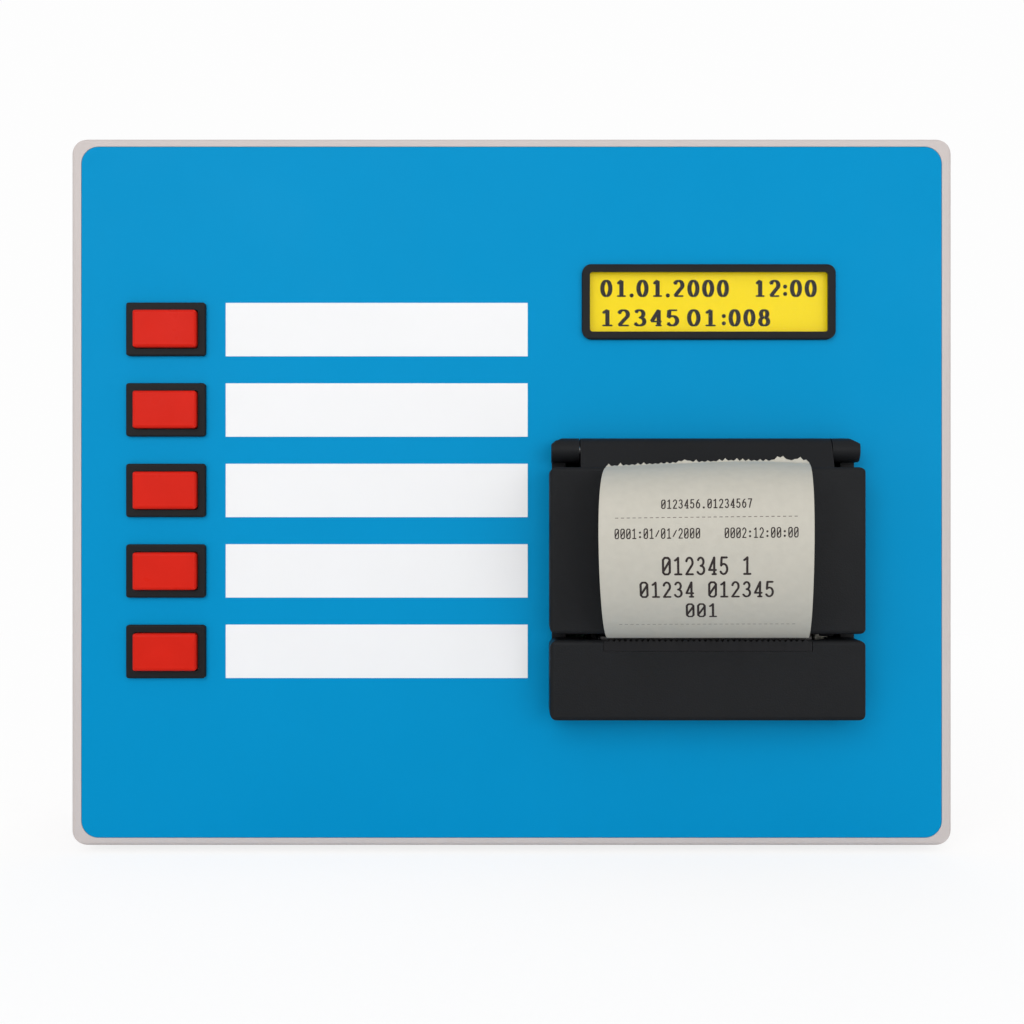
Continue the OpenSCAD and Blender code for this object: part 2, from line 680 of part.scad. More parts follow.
module printer_door() color(black) at_printer() difference() {
    union() {
        difference() {
            translate([0, 0, door_mid])
                crowned(door_w, door_high - door_low, 2, 1.1, -proud, door_back);
            translate([0, 0, door_mid]) slab(-proud + door_wall, 1)
                rect(door_w - 2 * door_wall, door_high - door_low - 2 * door_wall, 1);
            rod(-gear_out - 1.5, gear_out + 1.5, platen_y, platen_z, platen_r + 1);
        }
        bar(-ear_in + 0.3, ear_in - 0.3) hull() {
            translate([hinge_y, hinge_z]) circle(r = hinge_r);
            translate([-proud + 1.1, door_high - 1.2]) circle(r = 0.8);
        }
        both_sides() bar(arm_in, arm_out) {
            translate([platen_y, platen_z]) circle(r = arm_r);
            translate([-proud + door_wall - 0.3, platen_z - 3.6])
                square([proud - door_wall + 0.3 + platen_y, 7.2]);
        }
        both_sides() for (z = [4, 14, 24]) translate([cheek_out + 2, -proud + door_wall - skin, z])
            cube([door_w / 2 - cheek_out - 3.5, 1.2, 1.2]);
    }
    rod(-ear_in, ear_in, hinge_y, hinge_z, hinge_pin_r + run);
    rod(-arm_out - 1, arm_out + 1, platen_y, platen_z, bush_r + screw_fit);
}

module door_hinge_pin() color(steel) at_printer() rod(2 - strip_w / 2, strip_w / 2 - 2, hinge_y, hinge_z, hinge_pin_r);

// Moulded chassis: two cheeks, the roll's bucket, the paper's floor and the base of the springs
module printer_chassis() color(black) at_printer() difference() {
    union() {
        both_sides() bar(cheek_in, cheek_out) {
            translate([roll_y, roll_z]) circle(r = roll_r + bucket_gap + bucket_t + 0.4);
            translate([2.2, base_low]) square([printer_board_y - 2.2, 26]);
        }
        bar(-cheek_in, cheek_in) translate([roll_y, roll_z]) rotate(web_dir) {
            intersection() {
                difference() {
                    circle(r = roll_r + bucket_gap + bucket_t);
                    circle(r = roll_r + bucket_gap);
                }
                translate([0, -40]) square([40, 80]);
            }
            translate([-11.8, -roll_r - bucket_gap - bucket_t]) square([11.8, bucket_t]);
        }
        translate([-cheek_out, -6, base_low]) cube([2 * cheek_out, printer_board_y + 6, base_t]);
        both_sides() for (z = [-tab_high, tab_low]) translate([cheek_out - skin, tab_y, z])
            cube([tab_w, tab_t, tab_high - tab_low]);
        for (s = [-1, 1]) translate([s * head_spring_x, head_spring_y, base_low])
            cylinder(h = base_t + 4, r = head_spring_r - wire_r - 0.4);
        rod(cheek_out - skin, gear_out + 1, idler_y, idler_z, post_pin_r);
    }
    rod(-cheek_out - 1, cheek_out + 1, pivot_y, pivot_z, 1 + run);
    rod(cheek_in - 1, cheek_out + 1, pinion_y, pinion_z, 2.5);
    at_corners(tab_x, (tab_low + tab_high) / 2) post(tab_y - 1, tab_y + tab_t + 1, small_r + clear);
    // The sensor looks at the web through this slot
    translate([-15, roll_y, roll_z]) rotate([web_dir, 0, 0])
        translate([-2, -10, -roll_r - 4]) cube([4, 3, 5]);
}

module platen_shaft() color(steel) at_printer()
    rod(-arm_out - 1.2, gear_out + 0.6, platen_y, platen_z, shaft_r);

module platen_roller() color([0.2, 0.2, 0.22]) at_printer() difference() {
    rod(-roller_half, roller_half, platen_y, platen_z, platen_r);
    rod(-roller_half - 1, roller_half + 1, platen_y, platen_z, shaft_r + 0.02);
}

module platen_bushings() color(nylon) at_printer() both_sides() difference() {
    union() {
        rod(arm_in - 0.6, arm_in - 0.02, platen_y, platen_z, bush_r + 0.9);
        rod(arm_in - 0.1, arm_out + 0.5, platen_y, platen_z, bush_r);
    }
    rod(arm_in - 1, arm_out + 1, platen_y, platen_z, shaft_r + run);
}

module gear(z, turn, bore, y, zc) translate([0, y, zc]) difference() {
    bar(gear_in, gear_out) rotate(turn) difference() {
        polygon(gear_outline(z));
        circle(r = bore);
    }
}

module platen_gear() color(nylon) at_printer()
    gear(platen_teeth, 0, shaft_r + 0.02, platen_y, platen_z);

// The wheel has a thin web with six holes between its hub and its rim
module idler_gear() color(nylon) at_printer() translate([0, idler_y, idler_z]) difference() {
    bar(gear_in, gear_out) rotate(idler_turn) difference() {
        polygon(gear_outline(idler_teeth));
        circle(r = post_pin_r + run);
        for (a = [0:60:300]) rotate(a) translate([4.6, 0]) circle(r = 1.1);
    }
    bar(gear_out - 1.2, gear_out + 1) difference() {
        circle(r = gear_m * idler_teeth / 2 - 1.8);
        circle(r = 2.6);
    }
}

module motor_pinion() color([0.85, 0.7, 0.35]) at_printer() translate([0, pinion_y, pinion_z]) {
    bar(gear_in, gear_out) rotate(pinion_turn) polygon(gear_outline(pinion_teeth));
    rod(cheek_in - 8, gear_in + skin, 0, 0, 1);
    rod(gear_out - skin, gear_out + 0.8, 0, 0, 1);
}

module stepper_motor() color(steel) at_printer() translate([0, pinion_y, pinion_z]) difference() {
    union() {
        rod(motor_in, cheek_in - 1, 0, 0, motor_r);
        bar(cheek_in - 1 - skin, cheek_in) {
            rotate(20) rect(2 * motor_r + 4, 4.6);
            circle(r = 4);
        }
        translate([motor_in + 2, motor_r - 1.2, -3]) cube([7, 3.2, 6]);
    }
    rod(cheek_in - 9, cheek_in + 1, 0, 0, 1 + run);
}

module print_head() color([0.75, 0.72, 0.66]) at_printer() {
    translate([-head_half, head_front, head_top - head_t]) cube([2 * head_half, 12, head_t]);
    bar(-roller_half, roller_half) translate([platen_y + 7, head_top - head_t + 0.8]) circle(r = 0.8);
}

module head_heatsink() color([0.6, 0.61, 0.63]) at_printer() {
    difference() {
        translate([-head_half, head_front, head_top - head_t - sink_t])
            cube([2 * head_half, sink_back - head_front, sink_t]);
        for (y = [-6.4:2.4:5.6]) translate([-head_half - 1, y, head_top - head_t - sink_t - 1])
            cube([2 * head_half + 2, 1.2, 2]);
    }
    both_sides() rod(head_half - skin, cheek_out - 0.2, pivot_y, pivot_z, 1);
}

module head_springs() color(steel) at_printer() for (s = [-1, 1])
    translate([s * head_spring_x, head_spring_y, base_low + base_t])
        coil_spring(head_spring_r, head_top - head_t - sink_t - base_low - base_t, 4);

// Serrated strip along the block's top edge
module tear_bar() color(steel) at_printer() {
    pitch = 1.6;
    teeth = floor(2 * roller_half / pitch);
    start = -teeth * pitch / 2;
    slab(-proud, -proud + 0.6) polygon(concat(
        [[-roller_half - 0.5, block_high - 3], [roller_half + 0.5, block_high - 3],
         [roller_half + 0.5, block_high - 0.5], [-start, block_high - 0.5]],
        [for (i = [teeth - 1:-1:0]) each [
            [start + (i + 0.5) * pitch, block_high + 0.4], [start + i * pitch, block_high - 0.5]]],
        [[-roller_half - 0.5, block_high - 0.5]]));
}

module paper_roll() color(paper_white) at_printer() difference() {
    rod(-roll_half, roll_half, roll_y, roll_z, roll_r);
    rod(-roll_half - 1, roll_half + 1, roll_y, roll_z, core_r + 0.02);
}

module roll_core() color([0.5, 0.42, 0.32]) at_printer() difference() {
    rod(-roll_half, roll_half, roll_y, roll_z, core_r);
    rod(-roll_half - 1, roll_half + 1, roll_y, roll_z, core_r - 1.7);
}

// Paper from the slot under the platen and straight to the roll
module paper_web() color(paper_white) at_printer() bar(-paper_w / 2, paper_w / 2) {
    translate([slot_y + 0.3, web_low]) square([nip_y - slot_y - 0.3, paper_t]);
    translate([nip_y, slot_z]) rotate(web_dir)
        translate([-0.1, -paper_t / 2]) square([web_len - 0.4, paper_t]);
}

// The curl leaves the slot level, bulges forward and comes back at its top
function curl(out, half, a) =
    [slot_y - out * cos(a), web_low + curl_h / 2 + half * sin(a) + 6 * pow(cos(a), 2)];
module ticket() color(paper_white) at_printer() {
    turns = [for (a = [-90:4.5:81]) a];
    last = len(turns) - 1;
    // Corners of the paper's section at each turn: outer left and right, inner right and left
    corners = [for (a = turns) let (
        p = curl(curl_out, curl_h / 2, a), q = curl(curl_out - paper_t, curl_h / 2 - paper_t, a),
        dp = curl_lean * (p[0] - slot_y), dq = curl_lean * (q[0] - slot_y))
        each [[dp - paper_w / 2, p[0], p[1]], [dp + paper_w / 2, p[0], p[1]],
              [dq + paper_w / 2, q[0], q[1]], [dq - paper_w / 2, q[0], q[1]]]];
    ends = [[0, 1, 2, 3], [for (j = [3:-1:0]) 4 * last + j]];
    sides = [for (i = [0:last - 1], j = [0:3]) let (k = (j + 1) % 4)
        [4 * i + k, 4 * i + j, 4 * i + 4 + j, 4 * i + 4 + k]];
    polyhedron(corners, concat(ends, sides));
}

module paper_sensor() color(black) at_printer() translate([-15, roll_y, roll_z])
    rotate([web_dir, 0, 0]) {
        translate([-3.5, -11, -roll_r - bucket_gap - bucket_t - 2.4]) cube([7, 5, 2.4]);
        translate([-1.5, -9.6, -roll_r - bucket_gap - bucket_t - skin]) cube([3, 2.2, bucket_t - 0.3]);
    }

module printer_board() color(board_green) at_printer() {
    translate([0, 0, -22.5]) slab(printer_board_y, printer_board_y + pcb_t)
        rect(2 * gear_out + 2, 23, 1);
    translate([-24, printer_board_y + pcb_t - skin, -30]) cube([18, 3.6, 6]);
    translate([6, printer_board_y + pcb_t - skin, -28]) cube([10, 1.6, 10]);
    translate([24, printer_board_y + pcb_t - skin, -28]) cube([7, 2.4, 7]);
}

// Side clamps that pull the housing's flange against the panel
module printer_clamps() color(steel) at_printer() both_sides() translate([0, 0, -6])
    linear_extrude(12) polygon([
        [sleeve_w / 2, front_wall], [sleeve_w / 2 + 5, front_wall],
        [sleeve_w / 2 + 5, front_wall + 1.2], [sleeve_w / 2 + 1.2, front_wall + 5],
        [sleeve_w / 2 + 1.2, sleeve_d - 10], [sleeve_w / 2, sleeve_d - 10]]);

// ---- Electronics and rear sockets ----

module main_board() color(board_green) at_board() difference() {
    slab(board_y, board_y + pcb_t) rect(board_w, board_h, 2);
    at_corners(board_w / 2 - board_hole, board_h / 2 - board_hole)
        post(board_y - 1, board_y + pcb_t + 1, small_r + clear);
}

// Chips, capacitors, headers, a heat sink and the sounder, all on the board's front
module main_board_parts() color([0.2, 0.2, 0.22]) at_board() {
    for (p = [[-20, 6, 14], [18, 12, 10], [40, -20, 8]])
        translate([p[0], board_y - 0.9, p[1]]) cube([p[2], 1.8, p[2]], center = true);
    for (x = [-58, -46, -34]) translate([x, 0, -28]) post(board_y - 11, board_y, 4);
    for (x = [-56, -37, -18]) translate([x, board_y - 4, board_h / 2 - part_edge])
        cube([14, 8, 8], center = true);
    translate([lcd_header_x, board_y - header_h / 2, lcd_header_z]) cube([22, header_h, 6], center = true);
    translate([printer_header_x, board_y - header_h / 2, printer_header_z])
        cube([18, header_h, 6], center = true);
    translate([button_header_x, board_y - header_h / 2, button_header_z])
        cube([6, header_h, 12], center = true);
    for (i = [0:4]) translate([54 + 2.6 * i, board_y - 7, -34]) cube([1.2, 14, 18], center = true);
    translate([59.2, board_y - 1, -34]) cube([11.6, 2, 18], center = true);
    translate([-12, 0, -30]) difference() {
        post(board_y - 9.5, board_y, 6);
        post(board_y - 10, board_y - 7.5, 1.2);
    }
}

// A flat cable's profile: its route, given as points, drawn with a thickness
function side_of(p, q) = let (d = q - p) [-d[1], d[0]] / norm(d);
function ribbon(route, t) = let (
    n = len(route) - 1,
    off = [for (i = [0:n]) let (
        a = side_of(route[max(i - 1, 0)], route[max(i, 1)]),
        b = side_of(route[min(i, n - 1)], route[min(i + 1, n)])) (a + b) / (1 + a * b) * t / 2])
    concat([for (i = [0:n]) route[i] + off[i]], [for (i = [n:-1:0]) route[i] - off[i]]);
// Each route is straight at both ends, where it goes into its sockets
header_y = board_y - header_h - plug_gap;
lcd_route = [[lcd_board_y + pcb_t + 2 + plug_gap, lcd_z + lcd_board_h / 2 - 2.8],
    [19, lcd_z + lcd_board_h / 2 - 2.8], [27, lcd_z + 12], [37, lcd_z + 4],
    [48, lcd_header_z + 15], [57, lcd_header_z + 5], [header_y - 4, lcd_header_z],
    [header_y, lcd_header_z]];
printer_route = [[printer_board_y + pcb_t + 3.6 + plug_gap, printer_z - 27],
    [42, printer_z - 27], [50, printer_z - 26], [57, printer_header_z - 8],
    [header_y - 4, printer_header_z], [header_y, printer_header_z]];
button_route = [[button_x + 8, button_board_y + pcb_t + 2 + plug_gap], [button_x + 8, 32],
    [button_x + 16, 44], [button_x + 27, 54], [board_x + button_header_x - 2, header_y - 7],
    [board_x + button_header_x, header_y - 4], [board_x + button_header_x, header_y]];
module ribbon_cables() color([0.6, 0.6, 0.62]) in_place() {
    bar(board_x + lcd_header_x - 9, board_x + lcd_header_x + 9) polygon(ribbon(lcd_route, ribbon_t));
    bar(printer_x - 22, printer_x - 15.5) polygon(ribbon(printer_route, ribbon_t));
    translate([0, 0, button_header_z - 4.5]) linear_extrude(9) polygon(ribbon(button_route, ribbon_t));
}

module dc_jack() color(black) in_place() translate([inlet_x, 0, socket_z]) {
    difference() {
        union() {
            post(case_d, case_d + 1.5, 5.6);
            post(cover_in - 2, case_d + skin, 3.9);
            translate([0, cover_in - 8, 0]) cube([9, 12, 10], center = true);
        }
        post(cover_in - 9, case_d + 2, 2.85);
    }
    post(cover_in - 13, case_d - 0.5, 1);
}

module power_switch() color(black) in_place() translate([switch_x, 0, socket_z]) difference() {
    union() {
        slab(case_d, case_d + switch_proud - 0.5) rect(15, 21, 1);
        slab(case_d + 0.5, case_d + switch_proud) rect(14, 20, 0.5);
        slab(case_d - 15, case_d + 0.5) rect(12.8, 18.8);
        for (z = [-6, 0, 6]) translate([0, case_d - 17.5, z]) cube([4.8, 7, 0.8], center = true);
    }
    slab(case_d - 6, case_d + 4) rect(11.2, 16);
    rod(-5.8, 5.8, case_d - rocker_sunk, 0, rocker_pin_r + run);
}

// The rocker's ends are arcs about its trunnions; its face is a shallow V
module power_rocker() color(black) in_place()
    translate([switch_x, case_d - rocker_sunk, socket_z]) {
        bar(-5.4, 5.4) rotate(-rocker_tilt) intersection() {
            circle(r = rocker_r);
            polygon([[-3, -rocker_half], [rocker_end, -rocker_half], [rocker_mid, 0],
                [rocker_end, rocker_half], [-3, rocker_half]]);
        }
        rod(-5.7, 5.7, 0, 0, rocker_pin_r);
    }

module data_socket() color(black) in_place() translate([data_x, 0, socket_z]) difference() {
    union() {
        slab(case_d, case_d + 0.8) rect(18.4, 15.9, 0.6);
        slab(case_d - 18, case_d + skin) rect(16, 13.5);
    }
    slab(case_d - 12, case_d + 1) {
        rect(11.8, 7.2);
        translate([0, -4.6]) rect(6, 2.4);
    }
}

// All the small self-tapping screws: display, main board and printer chassis
module inner_screws() color(steel) {
    at_lcd() at_corners(lcd_screw_w / 2, lcd_screw_h / 2) small_screw(lcd_board_y + pcb_t, 7);
    at_printer() at_corners(tab_x, (tab_low + tab_high) / 2) small_screw(tab_y + tab_t, 10);
    at_board() at_corners(board_w / 2 - board_hole, board_h / 2 - board_hole)
        translate([0, 2 * board_y, 0]) mirror([0, 1, 0]) small_screw(board_y, 9);
}

front_shell();
rear_cover();
front_overlay();
service_labels();
case_screws();
rubber_feet();
lcd_frame();
lcd_window();
lcd_glass();
lcd_bezel();
lcd_backlight();
lcd_board();
for (i = [1:button_n]) button_cap(i);
for (i = [1:button_n]) button_housing(i);
for (i = [1:button_n]) button_spring(i);
button_terminals();
button_board();
printer_housing();
printer_front_block();
printer_door();
door_hinge_pin();
printer_chassis();
platen_shaft();
platen_roller();
platen_bushings();
platen_gear();
idler_gear();
motor_pinion();
stepper_motor();
print_head();
head_heatsink();
head_springs();
tear_bar();
paper_roll();
roll_core();
paper_web();
ticket();
paper_sensor();
printer_board();
printer_clamps();
main_board();
main_board_parts();
ribbon_cables();
dc_jack();
power_switch();
power_rocker();
data_socket();
inner_screws();
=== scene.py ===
# Looks of the countertop queue ticket printer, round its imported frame. Metres, front towards -Y.
import bisect
import json
import math
import random

import bmesh
import bpy
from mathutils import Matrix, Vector


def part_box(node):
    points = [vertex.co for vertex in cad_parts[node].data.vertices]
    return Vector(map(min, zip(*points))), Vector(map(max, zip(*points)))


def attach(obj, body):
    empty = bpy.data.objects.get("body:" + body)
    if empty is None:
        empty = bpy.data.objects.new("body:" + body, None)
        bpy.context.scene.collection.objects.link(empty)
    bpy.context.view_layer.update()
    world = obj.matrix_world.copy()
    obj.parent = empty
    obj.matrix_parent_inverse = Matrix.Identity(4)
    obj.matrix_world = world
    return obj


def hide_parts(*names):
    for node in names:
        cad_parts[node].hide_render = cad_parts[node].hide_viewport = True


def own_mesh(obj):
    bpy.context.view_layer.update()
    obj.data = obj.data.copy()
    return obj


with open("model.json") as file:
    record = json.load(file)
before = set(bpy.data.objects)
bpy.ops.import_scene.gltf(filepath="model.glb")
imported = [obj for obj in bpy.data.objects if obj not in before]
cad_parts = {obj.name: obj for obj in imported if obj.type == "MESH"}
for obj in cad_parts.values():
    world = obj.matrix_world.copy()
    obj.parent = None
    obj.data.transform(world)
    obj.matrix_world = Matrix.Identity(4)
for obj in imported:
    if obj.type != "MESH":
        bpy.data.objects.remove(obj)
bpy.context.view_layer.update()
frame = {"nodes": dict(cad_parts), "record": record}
nodes = frame["nodes"]
MM = 0.001

# ---- The photograph's view ----
IMAGE = 1024                 # pixels, across and up
PIXEL = 0.28854 * MM         # one pixel's width in the plane of the case's rim
LENS = 50                    # millimetres
SENSOR = 36                  # millimetres
PANEL_MIDDLE = (511.55, 492.2)  # the panel's middle in the photograph, in pixels

shell_low, shell_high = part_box("front_shell")
panel_middle = Vector((0, shell_low.y, (shell_low.z + shell_high.z) / 2))


def make_camera():
    data = bpy.data.cameras.new("camera")
    data.lens = LENS
    data.sensor_width = SENSOR
    camera = bpy.data.objects.new("camera", data)
    bpy.context.scene.collection.objects.link(camera)
    distance = IMAGE * PIXEL * LENS / SENSOR
    aside = (IMAGE / 2 - PANEL_MIDDLE[0]) * PIXEL
    below = (IMAGE / 2 - PANEL_MIDDLE[1]) * PIXEL
    camera.location = panel_middle + Vector((aside, -distance, -below))
    camera.rotation_euler = (math.pi / 2, 0, 0)
    bpy.context.scene.camera = camera


# ---- Materials ----
WORN_TURN = (0.995, 0.9)     # cosines of the turns where an edge starts to look worn and is fully so


class Shader:
    """A material's node tree round one Principled shader. Lengths are in metres."""

    def __init__(self, name, colour, rough, metal=0.0, **sockets):
        self.material = bpy.data.materials.new(name)
        self.material.use_nodes = True
        self.tree = self.material.node_tree
        self.bsdf = self.tree.nodes["Principled BSDF"]
        self.base = colour
        self.bsdf.inputs["Base Color"].default_value = (*colour, 1)
        self.bsdf.inputs["Roughness"].default_value = rough
        self.bsdf.inputs["Metallic"].default_value = metal
        for socket, value in sockets.items():
            self.bsdf.inputs[socket.replace("_", " ")].default_value = value
        self.place = self.add("ShaderNodeTexCoord").outputs["Object"]
        self.height = None

    def add(self, kind, **settings):
        node = self.tree.nodes.new(kind)
        for key, value in settings.items():
            setattr(node, key, value)
        return node

    def link(self, out, into):
        self.tree.links.new(out, into)

    def stretched(self, scale, offset=(0, 0, 0)):
        """The texture place, moved by offset and scaled a different amount on each axis."""
        mapping = self.add("ShaderNodeMapping")
        mapping.inputs["Location"].default_value = offset
        mapping.inputs["Scale"].default_value = scale
        self.link(self.place, mapping.inputs["Vector"])
        return mapping.outputs["Vector"]

    def noise(self, scale, detail=2.0, place=None, roughness=0.5):
        noise = self.add("ShaderNodeTexNoise")
        noise.inputs["Scale"].default_value = scale
        noise.inputs["Detail"].default_value = detail
        noise.inputs["Roughness"].default_value = roughness
        self.link(place or self.place, noise.inputs["Vector"])
        return noise.outputs["Fac"]

    def ramp(self, value, low, high, to_low=0.0, to_high=1.0):
        """The value, with low to high spread over to_low to to_high and held beyond them."""
        span = self.add("ShaderNodeMapRange")
        for socket, number in zip(("From Min", "From Max", "To Min", "To Max"),
                                  (low, high, to_low, to_high)):
            span.inputs[socket].default_value = number
        self.link(value, span.inputs["Value"])
        return span.outputs["Result"]

    def mix(self, fac, first, second):
        """A colour between first and second, each a colour or a colour output."""
        mix = self.add("ShaderNodeMix", data_type="RGBA")
        self.link(fac, mix.inputs["Factor"])
        for socket, colour in zip(("A", "B"), (first, second)):
            target = next(i for i in mix.inputs if i.name == socket and i.type == "RGBA")
            if isinstance(colour, bpy.types.NodeSocket):
                self.link(colour, target)
            else:
                target.default_value = (*colour, 1)
        return next(o for o in mix.outputs if o.type == "RGBA")

    def paint(self, fac, colour):
        """Paints colour over what the base already is, where fac is 1."""
        socket = self.bsdf.inputs["Base Color"]
        below = socket.links[0].from_socket if socket.links else self.base
        self.link(self.mix(fac, below, colour), socket)
        return self

    def mottle(self, scale, amount, detail=3.0, place=None):
        """Lightens and darkens the base a little, in soft patches."""
        tone = tuple(min(1, c * (1 + amount) + amount * 0.02) for c in self.base)
        self.base = tuple(c * (1 - amount) for c in self.base)
        return self.paint(self.ramp(self.noise(scale, detail, place), 0.3, 0.7), tone)

    def bump(self, value, depth):
        """Adds a height to the surface; depth is in metres."""
        bump = self.add("ShaderNodeBump")
        bump.inputs["Distance"].default_value = depth
        self.link(value, bump.inputs["Height"])
        if self.height:
            self.link(self.height, bump.inputs["Normal"])
        self.height = bump.outputs["Normal"]
        self.link(self.height, self.bsdf.inputs["Normal"])
        return self

    def gloss(self, value, low, high):
        """Roughness between low and high, following value."""
        self.link(self.ramp(value, 0.3, 0.7, low, high), self.bsdf.inputs["Roughness"])
        return self

    def worn(self, radius, colour, strength=0.6):
        """Edges rubbed lighter: where the surface turns within radius, broken up by noise."""
        bevel = self.add("ShaderNodeBevel", samples=4)
        bevel.inputs["Radius"].default_value = radius
        geometry = self.add("ShaderNodeNewGeometry")
        dot = self.add("ShaderNodeVectorMath", operation="DOT_PRODUCT")
        self.link(bevel.outputs["Normal"], dot.inputs[0])
        self.link(geometry.outputs["Normal"], dot.inputs[1])
        edge = self.ramp(dot.outputs["Value"], *WORN_TURN, 0, strength)
        rub = self.add("ShaderNodeMath", operation="MULTIPLY")
        self.link(edge, rub.inputs[0])
        self.link(self.ramp(self.noise(900, 4), 0.35, 0.65), rub.inputs[1])
        return self.paint(rub.outputs["Value"], colour)


def srgb(r, g, b):
    """A colour read from the photograph, 0 to 255, as the shader wants it."""
    def linear(c):
        c /= 255
        return c / 12.92 if c <= 0.04045 else ((c + 0.055) / 1.055) ** 2.4
    return (linear(r), linear(g), linear(b))


def moulded(name, colour, rough=0.45, grain=2600, depth=0.00004, specular=0.3, wear=None,
            clouds=0.03, waves=0.00008):
    """Moulded plastic with a fine spark-eroded texture, clouds in its tone and slow waves."""
    s = Shader(name, colour, rough, Specular_IOR_Level=specular)
    s.mottle(35, clouds)
    s.gloss(s.noise(60, 3), rough - 0.06, rough + 0.08)
    s.bump(s.noise(grain, 3), depth)
    s.bump(s.noise(18, 1), waves)
    if wear:
        s.worn(0.0004, wear, 0.35)
    return s.material


def case():
    return moulded("case", srgb(209, 200, 197), 0.55, specular=0.2, wear=srgb(229, 222, 219),
                   clouds=0.01, waves=0.000012)


def overlay():
    """Satin polyester film, printed on its back: an even colour under a very fine texture."""
    s = Shader("overlay", srgb(0, 148, 205), 0.38, Specular_IOR_Level=0.04)
    s.mottle(22, 0.012)
    s.gloss(s.noise(40, 2), 0.34, 0.44)
    s.bump(s.noise(4200, 2), 0.000012)
    s.bump(s.noise(9, 1), 0.00012)
    return s.material


def labels():
    s = Shader("labels", srgb(249, 249, 250), 0.55, Specular_IOR_Level=0.25)
    s.mottle(60, 0.008)
    s.gloss(s.noise(120, 2), 0.48, 0.62)
    s.bump(s.noise(3000, 3), 0.00001)
    return s.material


def black_plastic():
    return moulded("black_plastic", srgb(28, 29, 31), 0.42, grain=2200, depth=0.00005,
                   specular=0.1, wear=srgb(64, 64, 66))


def red_cap():
    s = Shader("red_cap", srgb(217, 34, 18), 0.3, Specular_IOR_Level=0.08)
    s.mottle(90, 0.03)
    s.gloss(s.noise(150, 3), 0.26, 0.38)
    s.bump(s.noise(1500, 2), 0.000012)
    s.worn(0.0004, srgb(235, 84, 64), 0.25)
    return s.material


def steel(name="steel", colour=(0.58, 0.585, 0.6), rough=0.28, along=(40, 3000, 3000)):
    """Drawn or brushed metal, its lines running along the axis whose scale is smallest."""
    s = Shader(name, colour, rough, 1.0)
    lines = s.noise(1, 4, s.stretched(along))
    s.mottle(1, 0.06, 4, s.stretched(along))
    s.gloss(lines, rough - 0.08, rough + 0.14)
    s.bump(lines, 0.00001)
    return s.material


def dark_steel():
    return steel("dark_steel", (0.018, 0.018, 0.019), 0.45, along=(900, 900, 60))


def brass():
    return steel("brass", (0.72, 0.5, 0.2), 0.25, along=(60, 900, 900))


def aluminium():
    return steel("aluminium", (0.6, 0.61, 0.63), 0.38, along=(30, 2600, 2600))


def rubber():
    s = Shader("rubber", (0.012, 0.012, 0.013), 0.75, Specular_IOR_Level=0.3)
    s.mottle(200, 0.2)
    s.gloss(s.noise(400, 3), 0.66, 0.84)
    s.bump(s.noise(3500, 4), 0.00005)
    return s.material


def roller_rubber():
    """Ground rubber: fine rings round the roller, and a little paper dust."""
    s = Shader("roller_rubber", (0.02, 0.02, 0.024), 0.6, Specular_IOR_Level=0.3)
    rings = s.noise(1, 3, s.stretched((5000, 60, 60)))
    s.gloss(rings, 0.5, 0.7)
    s.bump(rings, 0.00002)
    s.paint(s.ramp(s.noise(1100, 5), 0.5, 0.8, 0, 0.12), (0.3, 0.29, 0.27))
    return s.material


def window():
    """Clear acrylic with a few fine wiping marks in its gloss."""
    s = Shader("window", (0.02, 0.02, 0.02), 0.06, Alpha=0.05, Specular_IOR_Level=0.2)
    s.gloss(s.noise(1, 3, s.stretched((40, 300, 900))), 0.03, 0.12)
    return s.material


def lcd():
    """Yellow display: an even glow."""
    glow = srgb(250, 221, 26)
    s = Shader("lcd", glow, 0.3, Specular_IOR_Level=0.15, Emission_Color=(*glow, 1),
               Emission_Strength=0.22)
    s.mottle(30, 0.012)
    s.bump(s.noise(2500, 2), 0.000005)
    return s.material


def ink(name, colour, rough=0.6):
    s = Shader(name, colour, rough, Specular_IOR_Level=0.25)
    s.mottle(1500, 0.25)
    return s.material


def light_guide():
    return moulded("light_guide", (0.8, 0.8, 0.77), 0.3)


def circuit_board():
    """Green solder mask over copper traces, with tinned pads."""
    s = Shader("circuit_board", (0.012, 0.11, 0.045), 0.32, Specular_IOR_Level=0.4)
    traces = s.add("ShaderNodeTexBrick")
    traces.inputs["Scale"].default_value = 260
    traces.inputs["Mortar Size"].default_value = 0.045
    place = s.add("ShaderNodeSeparateXYZ")
    s.link(s.place, place.inputs[0])
    flat = s.add("ShaderNodeCombineXYZ")
    s.link(place.outputs["X"], flat.inputs["X"])
    s.link(place.outputs["Z"], flat.inputs["Y"])
    s.link(flat.outputs[0], traces.inputs["Vector"])
    s.paint(traces.outputs["Fac"], (0.03, 0.2, 0.08))
    pads = s.add("ShaderNodeTexVoronoi", feature="DISTANCE_TO_EDGE")
    pads.inputs["Scale"].default_value = 190
    s.link(flat.outputs[0], pads.inputs["Vector"])
    s.paint(s.ramp(pads.outputs["Distance"], 0.42, 0.46), (0.6, 0.6, 0.58))
    s.bump(traces.outputs["Fac"], 0.00003)
    return s.material


def nylon():
    return moulded("nylon", (0.78, 0.75, 0.66), 0.4, grain=1800, depth=0.00002)


def ceramic():
    s = Shader("ceramic", (0.06, 0.055, 0.05), 0.25, Specular_IOR_Level=0.4)
    s.mottle(400, 0.06)
    s.bump(s.noise(900, 2), 0.000005)
    return s.material


def paper():
    """Thermal paper: smooth, slightly warm, with the faint clouding of its fibres."""
    s = Shader("paper", srgb(204, 200, 188), 0.62, Specular_IOR_Level=0.15)
    s.mottle(420, 0.025, 5)
    s.bump(s.noise(2400, 5, roughness=0.6), 0.000012)
    s.bump(s.noise(90, 2), 0.00006)
    return s.material


